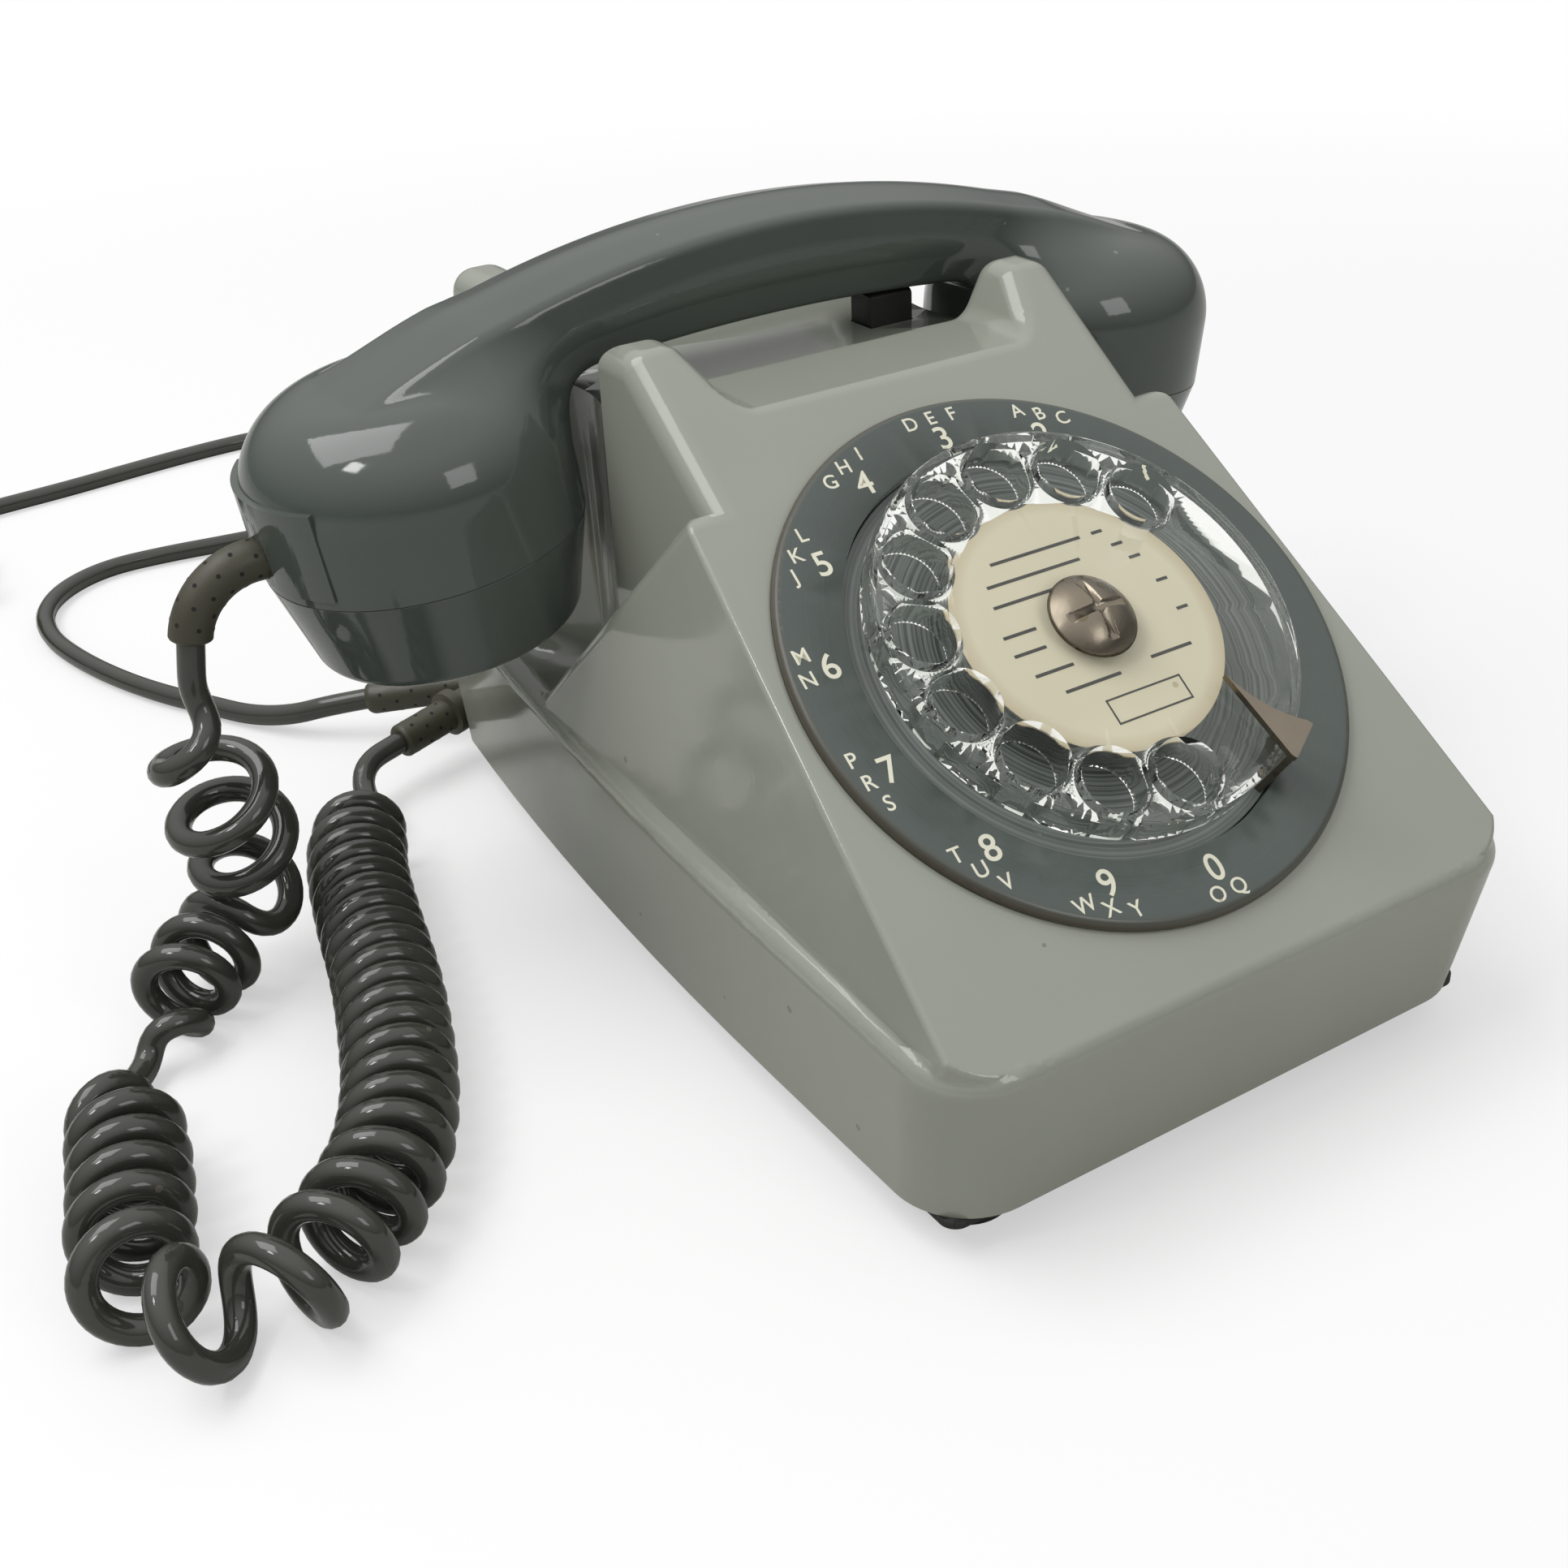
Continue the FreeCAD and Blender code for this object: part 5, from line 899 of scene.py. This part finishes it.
def settled(points, distance):
    """Points moved along the slope of a distance onto the surface where it is nought."""
    for _ in range(SETTLE_STEPS):
        slope = np.stack([distance(*(points + push).T) - distance(*(points - push).T)
                          for push in np.eye(3) * SLOPE_REACH], axis=1) / (2 * SLOPE_REACH)
        steep = np.maximum((slope * slope).sum(axis=1), LEAST_SLOPE)
        points = points - slope * (distance(*points.T) / steep)[:, None]
    return points


def seam_plane(side):
    """Middle of the seam between a bowl and its cap, and the bowl's axis."""
    axis = Vector((side * math.sin(BOWL_TILT), 0, math.cos(BOWL_TILT)))
    return Vector((side * BOWL_X, HANDSET_Y, BOWL_SEAM_Z)), axis


def handset_form(name):
    """The handset's moulding as one closed mesh, cut just above the seams of its caps."""
    points, quads = grid_surface(handset_distance)
    for _ in range(EVEN_ROUNDS):
        points = settled(evened(points, quads), handset_distance)
    obj = new_object(name, points + (0, HANDSET_Y, 0), quads.tolist())
    work = bmesh.new()
    work.from_mesh(obj.data)
    for side in (-1, 1):
        seam, up = seam_plane(side)
        half = [face for face in work.faces if face.calc_center_median().x * side > 0]
        around = {edge for face in half for edge in face.edges}
        corners = {vertex for face in half for vertex in face.verts}
        done = bmesh.ops.bisect_plane(work, geom=half + list(around) + list(corners), dist=CUT_ROOM,
                                      plane_co=seam + up * SEAM_GAP, plane_no=up, clear_inner=True)
        rim = [item for item in done["geom_cut"] if isinstance(item, bmesh.types.BMEdge)]
        bmesh.ops.holes_fill(work, edges=rim, sides=0)
    work.to_mesh(obj.data)
    work.free()
    tidy_mesh(obj.data, True)
    return obj


# Boots and cords


def bowl_point(across, height):
    """Point in the plane of symmetry of the left bowl's frame."""
    x = across * math.cos(BOWL_TILT) - height * math.sin(BOWL_TILT)
    z = across * math.sin(BOWL_TILT) + height * math.cos(BOWL_TILT)
    return Vector((x - BOWL_X, HANDSET_Y, BOWL_SEAM_Z + z))


def handset_boot_points():
    """Stub out of the cord plate and a bend downwards."""
    start = bowl_point(-BOWL_R - CORD_PLATE_PROUD, HANDSET_BOOT_RISE)
    centre = start + Vector((-HANDSET_BOOT_STUB, 0, -HANDSET_BOOT_BEND_R))
    points = [start + Vector((HANDSET_BOOT_STUB, 0, 0)), start]
    for angle in np.linspace(0, HANDSET_BOOT_TURN, HANDSET_BOOT_BEND_POINTS):
        points.append(centre + Vector((-math.sin(angle), 0, math.cos(angle))) * HANDSET_BOOT_BEND_R)
    return np.array([tuple(p) for p in points])


def boot_radius(share, root, collar):
    """Radius along a boot: a root, an optional collar, a plain run and a narrower mouth."""
    if collar and BOOT_COLLAR[0] < share < BOOT_COLLAR[1]:
        return BOOT_COLLAR_R
    if share > 1 - BOOT_MOUTH:
        return BOOT_MOUTH_R + (BOOT_R - BOOT_MOUTH_R) * math.sqrt(max(0.0, (1 - share) / BOOT_MOUTH))
    return root + (BOOT_R - root) * min(1.0, share * BOOT_TAPER)


def even_points(points, count):
    """The same path with evenly spaced points."""
    travelled = np.concatenate([[0], np.cumsum(np.linalg.norm(np.diff(points, axis=0), axis=1))])
    even = np.linspace(0, travelled[-1], count)
    return np.stack([np.interp(even, travelled, points[:, axis]) for axis in range(3)], axis=1)


def boot(name, points, root, collar, holes):
    """Rubber boot along a path, and rows of small near-black discs on it, painted shade that stands for its
    holes.
    """
    path = even_points(points, BOOT_RINGS)
    side, over = ring_frames(path, (0.0, 0.0, 1.0))
    turn = np.linspace(0, 2 * math.pi, BOOT_SIDES, endpoint=False)[:, None]
    rings = []
    for index, here in enumerate(path):
        radius = boot_radius(index / (len(path) - 1), root, collar)
        rings.append(here + (side[index] * np.cos(turn) + over[index] * np.sin(turn)) * radius)
    tube = smooth(paint(lathe_rings(name, rings), "boot_rubber"), 40)
    spots = []
    facings = []
    first, last, rows = holes
    for row in range(rows):
        share = first + (last - first) * row / (rows - 1)
        index = round(share * (len(path) - 1))
        for step in range(HOLES_ROUND_BOOT):
            angle = 2 * math.pi * (step + 0.5 * (row % 2)) / HOLES_ROUND_BOOT
            facing = side[index] * math.cos(angle) + over[index] * math.sin(angle)
            spots.append(path[index] + facing * (boot_radius(share, root, False) - HOLE_DEPTH * HOLE_SINK))
            facings.append(facing)
    # Dark discs at the hole places: painted shade in place of real holes.
    dots = new_object(name + "_pits", spots, [])
    facing = dots.data.attributes.new("facing", "FLOAT_VECTOR", "POINT")
    facing.data.foreach_set("vector", np.array(facings, np.float32).ravel())
    tree = bpy.data.node_groups.get("hole rows") or hole_rows_tree()
    grown(dots, tree, "boot_pits", Radius=sizes().hole_radius, Depth=HOLE_DEPTH)
    return tube, dots


def curl_points():
    """Middle of the curly cord: a helix of changing radius and pitch around its smooth route."""
    lead = sizes().cord_diameter
    boot_end = Vector(handset_boot_points()[-1])
    down = Vector((-math.cos(HANDSET_BOOT_TURN), 0, -math.sin(HANDSET_BOOT_TURN)))
    body_end = Vector(CURLY_BOOT_POINTS[-1])
    into = (Vector(CURLY_BOOT_POINTS[3]) - body_end).normalized()
    first = tuple(boot_end + down * lead) + (0.0, CURLY_ROUTE[0][4])
    last = tuple(body_end - into * lead) + (0.0, CURLY_ROUTE[-1][4])
    chosen = [first] + list(CURLY_ROUTE) + [last]
    middle = route_points([row[:3] for row in chosen], CURLY_STEPS)
    curl = route_points([(row[3], row[4], 0.0) for row in chosen], CURLY_STEPS)
    step = np.concatenate([[0], np.linalg.norm(np.diff(middle, axis=0), axis=1)])
    turn = 2 * math.pi * np.cumsum(step / curl[:, 1])[:, None]
    side, over = ring_frames(middle, (0.0, 1.0, 0.0))
    curls = middle + (side * np.cos(turn) + over * np.sin(turn)) * curl[:, :1]
    points = np.concatenate([[boot_end], curls, [body_end]])
    length = np.linalg.norm(np.diff(points, axis=0), axis=1).sum()
    return even_points(points, round(length / CURLY_SPACING))


def coil_point(turn):
    """Point of the put-away coil, which winds inwards, climbs a layer and winds outwards."""
    half_width = COIL_TURNS * COIL_STEP / 2
    inner = COIL_MIDDLE_R - half_width
    height = COIL_LOW_Z
    if turn < COIL_TURNS:
        radius = inner + COIL_STEP * (COIL_TURNS - turn)
    elif turn < COIL_TURNS + 0.5:
        radius = inner
        height += COIL_LAYER * (1 - math.cos(2 * math.pi * (turn - COIL_TURNS))) / 2
    else:
        radius = inner + COIL_STEP * (turn - COIL_TURNS - 0.5)
        height += COIL_LAYER
    angle = math.radians(90) + 2 * math.pi * turn
    centre_y = COIL_START[1] - COIL_MIDDLE_R - half_width
    return Vector((COIL_START[0] + radius * math.cos(angle), centre_y + radius * math.sin(angle), height))


def line_points():
    """Control points of the whole line cord: its route, the coil's turns and the end in the plug."""
    turns = 2 * COIL_TURNS + 0.5
    count = round(turns * COIL_POINTS_PER_TURN)
    coil = [coil_point(turns * index / count) for index in range(count + 1)]
    heading = (coil[-1] - coil[-2]).normalized()
    tail = [coil[-1] + heading * COIL_TAIL * share for share in COIL_TAIL_SHARES]
    return [LINE_BOOT_POINTS[-1]] + list(LINE_ROUTE) + coil + tail


# Operators


class TelephonePiece:
    """What the operators share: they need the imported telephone."""

    bl_options = {"REGISTER", "UNDO"}

    @classmethod
    def poll(cls, context):
        return bool(frame["nodes"])


class TELEPHONE_OT_stage(TelephonePiece, bpy.types.Operator):
    """Set up the camera, the pale floor and the soft studio light"""

    bl_idname = "telephone.stage"
    bl_label = "Stage"

    def execute(self, context):
        context.scene.view_settings.view_transform = "Standard"
        self.add_camera(context)
        self.light_world(context)
        for name, spot, target, size, power in LAMPS:
            lamp = bpy.data.lights.new(name, "AREA")
            lamp.size = size
            lamp.energy = power
            obj = link(bpy.data.objects.new(name, lamp))
            obj.location = spot
            obj.rotation_euler = (Vector(spot) - Vector(target)).to_track_quat("Z", "Y").to_euler()
        corners = [(x * FLOOR_HALF, y * FLOOR_HALF, 0) for x, y in ((-1, -1), (1, -1), (1, 1), (-1, 1))]
        floor = new_object("floor", corners, [(0, 1, 2, 3)])
        floor.data.materials.append(self.floor_finish())
        return {"FINISHED"}

    def add_camera(self, context):
        azimuth, elevation, roll = CAMERA_AZIMUTH, CAMERA_ELEVATION, CAMERA_ROLL
        level = Vector((math.cos(azimuth), math.sin(azimuth), 0))
        back = Vector((math.sin(azimuth) * math.cos(elevation), -math.cos(azimuth) * math.cos(elevation),
                       math.sin(elevation)))
        right = level * math.cos(roll) + back.cross(level) * math.sin(roll)
        camera = bpy.data.cameras.new("photo camera")
        camera.lens = LENS
        camera.sensor_width = IMAGE_SENSOR
        camera.clip_start = CLIP_START
        obj = link(bpy.data.objects.new("photo camera", camera))
        axes = Matrix((right, back.cross(right), back)).transposed()
        obj.matrix_world = Matrix.Translation(CAMERA_PLACE) @ axes.to_4x4()
        context.scene.camera = obj

    def light_world(self, context):
        world = bpy.data.worlds.new("studio")
        world.use_nodes = True
        context.scene.world = world
        tree = world.node_tree
        where = add(tree, "ShaderNodeTexCoord").outputs["Generated"]
        height = add(tree, "ShaderNodeSeparateXYZ", {"Vector": where}).outputs["Z"]
        skies = []
        for low, high in (SOFT_SKY, SHINY_SKY):
            level = spread(tree, height, *SKY_RISE, low, high)
            skies.append(add(tree, "ShaderNodeBackground", {"Color": WHITE, "Strength": level}))
        white = add(tree, "ShaderNodeBackground", {"Color": WHITE, "Strength": 1.0})
        shiny = add(tree, "ShaderNodeLightPath").outputs["Is Glossy Ray"]
        lit = add(tree, "ShaderNodeMixShader", {0: shiny, 1: skies[0].outputs[0], 2: skies[1].outputs[0]})
        mix_surface(tree, "World Output", self.seen_rays(tree), lit, white)

    def seen_rays(self, tree):
        """1 for what the camera sees directly or through a clear piece."""
        path = add(tree, "ShaderNodeLightPath").outputs
        return reckon(tree, "MAXIMUM", path["Is Camera Ray"], path["Is Transmission Ray"])

    def floor_finish(self):
        """Pale floor that keeps the shadow and goes over into the white of the background."""
        material, tree, shader = new_finish("pale_floor", Roughness=0.9, Specular_IOR_Level=0.0)
        seen = add(tree, "ShaderNodeLightPath").outputs["Is Camera Ray"]
        tree.links.new(tinted(tree, seen, FLOOR_BOUNCE, FLOOR_SEEN), shader.inputs["Base Color"])
        lift = add(tree, "ShaderNodeEmission", {"Color": WHITE, "Strength": 1.0})
        where = add(tree, "ShaderNodeTexCoord").outputs["Object"]
        away = add(tree, "ShaderNodeVectorMath", {0: where}, operation="LENGTH").outputs["Value"]
        share = reckon(tree, "MULTIPLY", self.seen_rays(tree), spread(tree, away, *FLOOR_FADE, *FLOOR_GLOW))
        mix_surface(tree, "Material Output", share, shader, lift)
        return material


class TELEPHONE_OT_cords(TelephonePiece, bpy.types.Operator):
    """Lay the curly handset cord and the line cord with its coil, tie and plug"""

    bl_idname = "telephone.cords"
    bl_label = "Cords"

    def execute(self, context):
        diameter = sizes().cord_diameter
        path = curl_points()
        curly = new_object("curly_cord", path, [], [(i, i + 1) for i in range(len(path) - 1)])
        grown(curly, cord_tube_tree(), "cord_sheath", Diameter=diameter, Sides=CORD_SIDES)
        curly.data.shade_smooth()
        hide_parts("hanging_cord", "handset_cord")
        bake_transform(curly)
        plug = dressed("line_plug", "base", "black_plastic", "black_moulding")
        blades = dressed("plug_blades", "base", "brass", "brass")
        tie = dressed("cord_tie", "base", "black_plastic", "black_moulding")
        line = route_curve("line_cord_lead", line_points(), LINE_STEPS)
        line.data.bevel_depth = diameter / 2
        line.data.bevel_resolution = LINE_BEVEL_STEPS
        line.data.use_fill_caps = True
        line.data.materials.append(finish_named("cord_sheath"))
        place(line, "base", "cord_sheath", "line_cord", "line_cord_coil")
        return {"FINISHED"}


class TELEPHONE_OT_boots(TelephonePiece, bpy.types.Operator):
    """Make the three rubber boots that the cords come out of"""

    bl_idname = "telephone.boots"
    bl_label = "Cord boots"

    def execute(self, context):
        curly_path = route_points(CURLY_BOOT_POINTS, BOOT_STEPS)
        line_path = route_points(LINE_BOOT_POINTS, BOOT_STEPS)
        plans = (
            ("handset_boot", handset_boot_points(), BOOT_R, False, (0.12, 0.86, 6), "handset"),
            ("curly_cord_boot", curly_path, BOOT_R, True, (0.6, 0.9, 4), "base"),
            ("line_cord_boot", line_path, BOOT_ROOT_R, False, (0.45, 0.93, 7), "base"))
        for node, path, root, collar, holes, body in plans:
            # Each boot comes with its near-black hole discs, which are painted shade.
            tube, shaded_holes = boot(node + "_rubber", path, root, collar, holes)
            place(tube, body, "rubber_boot", node)
            place(shaded_holes, body, "rubber_boot")
        return {"FINISHED"}


class TELEPHONE_OT_handset(TelephonePiece, bpy.types.Operator):
    """Shape the handset with its blended handle and dress its caps and cord plate"""

    bl_idname = "telephone.handset"
    bl_label = "Handset"

    def execute(self, context):
        shell = paint(handset_form("handset_moulding_piece"), "handset_moulding")
        shell.data.shade_smooth()
        shell.data.set_sharp_from_angle(angle=math.radians(HANDSET_SHARP))
        place(shell, "handset", "handset_plastic", "handset_shell")
        dressed("cord_plate", "handset", "handset_plastic", "handset_moulding", 25)
        lean = -CAP_TAPER / math.hypot(CAP_TAPER, CAP_HEIGHT)
        for node, side in (("mouth_cap", -1), ("ear_cap", 1)):
            cap = dressed(node, "handset", "handset_plastic", "handset_moulding", 25)
            even_cone(cap, *seam_plane(side), lean)
        return {"FINISHED"}


class TELEPHONE_OT_housing(TelephonePiece, bpy.types.Operator):
    """Dress the moulded housing, its feet and the two cradle plungers"""

    bl_idname = "telephone.housing"
    bl_label = "Housing"

    def execute(self, context):
        dressed("housing", "base", "body_plastic", "body_moulding", 22)
        dressed("rubber_feet", "base", "rubber_black", "rubber_feet")
        dressed("plunger_left", "hook", "black_plastic", "black_moulding", 40)
        dressed("plunger_right", "hook", "black_plastic", "black_moulding", 40)
        return {"FINISHED"}


class TELEPHONE_OT_dial_face(TelephonePiece, bpy.types.Operator):
    """Dress the number ring and its bed, and paint on the digits and letters"""

    bl_idname = "telephone.dial_face"
    bl_label = "Dial face"

    def execute(self, context):
        dressed("number_ring", "base", "dial_plastic", "dial_slate", 25)
        dressed("dial_bed", "base", "dial_plastic", "scuffed_bed", 25)
        marks = []
        for number in range(1, 11):
            middle = 90 + (number - TOP_DIGIT) * HOLE_STEP
            marks.append(self.figure(str(number % 10), middle, sizes().digit_circle, sizes().digit_height))
            letters = LETTERS.get(number, "")
            turn = -1 if number <= LAST_DIGIT_READ_CLOCKWISE else 1
            for index, letter in enumerate(letters):
                angle = middle + turn * LETTER_STEP * (index - (len(letters) - 1) / 2)
                marks.append(self.figure(letter, angle, sizes().letter_circle, sizes().letter_height))
        figures = paint(joined("dial_figures", marks), "figure_paint")
        tidy_mesh(figures.data, True)
        place(figures, "base", "dial_plastic")
        return {"FINISHED"}

    def figure(self, text, degrees, circle, height):
        """One upright digit or letter of thin paint on the ring."""
        letter = bpy.data.curves.new(text, "FONT")
        letter.body = text
        letter.size = height / CAPITAL_SHARE
        letter.extrude = INK_THICKNESS
        letter.offset = height * FIGURE_WEIGHT
        outline = link(bpy.data.objects.new(text, letter))
        mesh = evaluated_mesh(outline)
        bpy.data.objects.remove(outline)
        wide = [vertex.co.x for vertex in mesh.vertices]
        angle = math.radians(degrees)
        across = circle * math.cos(angle) - (min(wide) + max(wide)) / 2
        up = circle * math.sin(angle) - height / 2
        mesh.transform(ON_DIAL @ Matrix.Translation((across, up, RING_TOP)))
        return link(bpy.data.objects.new(text, mesh))


class TELEPHONE_OT_finger_wheel(TelephonePiece, bpy.types.Operator):
    """Dress the clear finger wheel, its card and screw, and the finger stop"""

    bl_idname = "telephone.finger_wheel"
    bl_label = "Finger wheel"

    def execute(self, context):
        dressed("finger_wheel", "dial_wheel", "wheel_plastic", "clear_acrylic")
        dressed("number_card", "dial_wheel", "card", "card_paper", shift=-OUT_OF_FACE * CARD_SINK)
        dressed("centre_screw", "dial_wheel", "nickel", "aged_nickel")
        dressed("finger_stop", "base", "nickel", "aged_nickel")
        strips = [self.strip(left, right, height - CARD_LINE_WIDTH / 2, height + CARD_LINE_WIDTH / 2)
                  for height, left, right in CARD_LINES]
        left, right, low, high = CARD_BOX
        line = CARD_BOX_LINE
        strips += [self.strip(left, right, low, low + line), self.strip(left, right, high - line, high),
                   self.strip(left, left + line, low, high), self.strip(right - line, right, low, high)]
        rules = paint(joined("card_rules", strips), "card_ink")
        place(rules, "dial_wheel", "card")
        return {"FINISHED"}

    def strip(self, left, right, low, high):
        """Thin inked bar that lies on the card."""
        base = CARD_TOP - CARD_SINK
        corners = [(x, y, base + z) for z in (-INK_THICKNESS, INK_THICKNESS)
                   for x, y in ((left, low), (right, low), (right, high), (left, high))]
        faces = [(3, 2, 1, 0), (4, 5, 6, 7), (0, 1, 5, 4), (1, 2, 6, 5), (2, 3, 7, 6), (3, 0, 4, 7)]
        obj = new_object("rule", corners, faces)
        obj.data.transform(ON_DIAL)
        return obj


class TELEPHONE_OT_inner_works(TelephonePiece, bpy.types.Operator):
    """Give the pieces inside the housing their metals and plastics"""

    bl_idname = "telephone.inner_works"
    bl_label = "Inner works"

    def execute(self, context):
        for finish, nodes in INNER_FINISHES.items():
            for node in nodes:
                paint(frame["nodes"][node], finish)
        return {"FINISHED"}


class TELEPHONE_PT_pieces(bpy.types.Panel):
    """Pieces, colours and sizes of the telephone"""

    bl_label = "Telephone"
    bl_space_type = "VIEW_3D"
    bl_region_type = "UI"
    bl_category = "Telephone"

    def draw(self, context):
        for step in STEPS:
            self.layout.operator(step.bl_idname)
        for group in (context.scene.telephone_colours, context.scene.telephone_sizes):
            for label in type(group).__annotations__:
                self.layout.prop(group, label)


STEPS = (TELEPHONE_OT_stage, TELEPHONE_OT_cords, TELEPHONE_OT_boots, TELEPHONE_OT_handset,
         TELEPHONE_OT_housing, TELEPHONE_OT_dial_face, TELEPHONE_OT_finger_wheel, TELEPHONE_OT_inner_works)
CLASSES = (TelephoneColours, TelephoneSizes) + STEPS + (TELEPHONE_PT_pieces,)


def register():
    for kind in CLASSES:
        bpy.utils.register_class(kind)
    bpy.types.Scene.telephone_colours = bpy.props.PointerProperty(type=TelephoneColours)
    bpy.types.Scene.telephone_sizes = bpy.props.PointerProperty(type=TelephoneSizes)


def unregister():
    del bpy.types.Scene.telephone_sizes
    del bpy.types.Scene.telephone_colours
    for kind in reversed(CLASSES):
        bpy.utils.unregister_class(kind)


def main():
    register()
    bpy.ops.telephone.stage()
    bpy.ops.telephone.cords()
    bpy.ops.telephone.boots()
    bpy.ops.telephone.handset()
    bpy.ops.telephone.housing()
    bpy.ops.telephone.dial_face()
    bpy.ops.telephone.finger_wheel()
    bpy.ops.telephone.inner_works()


if __name__ == "__main__":
    main()
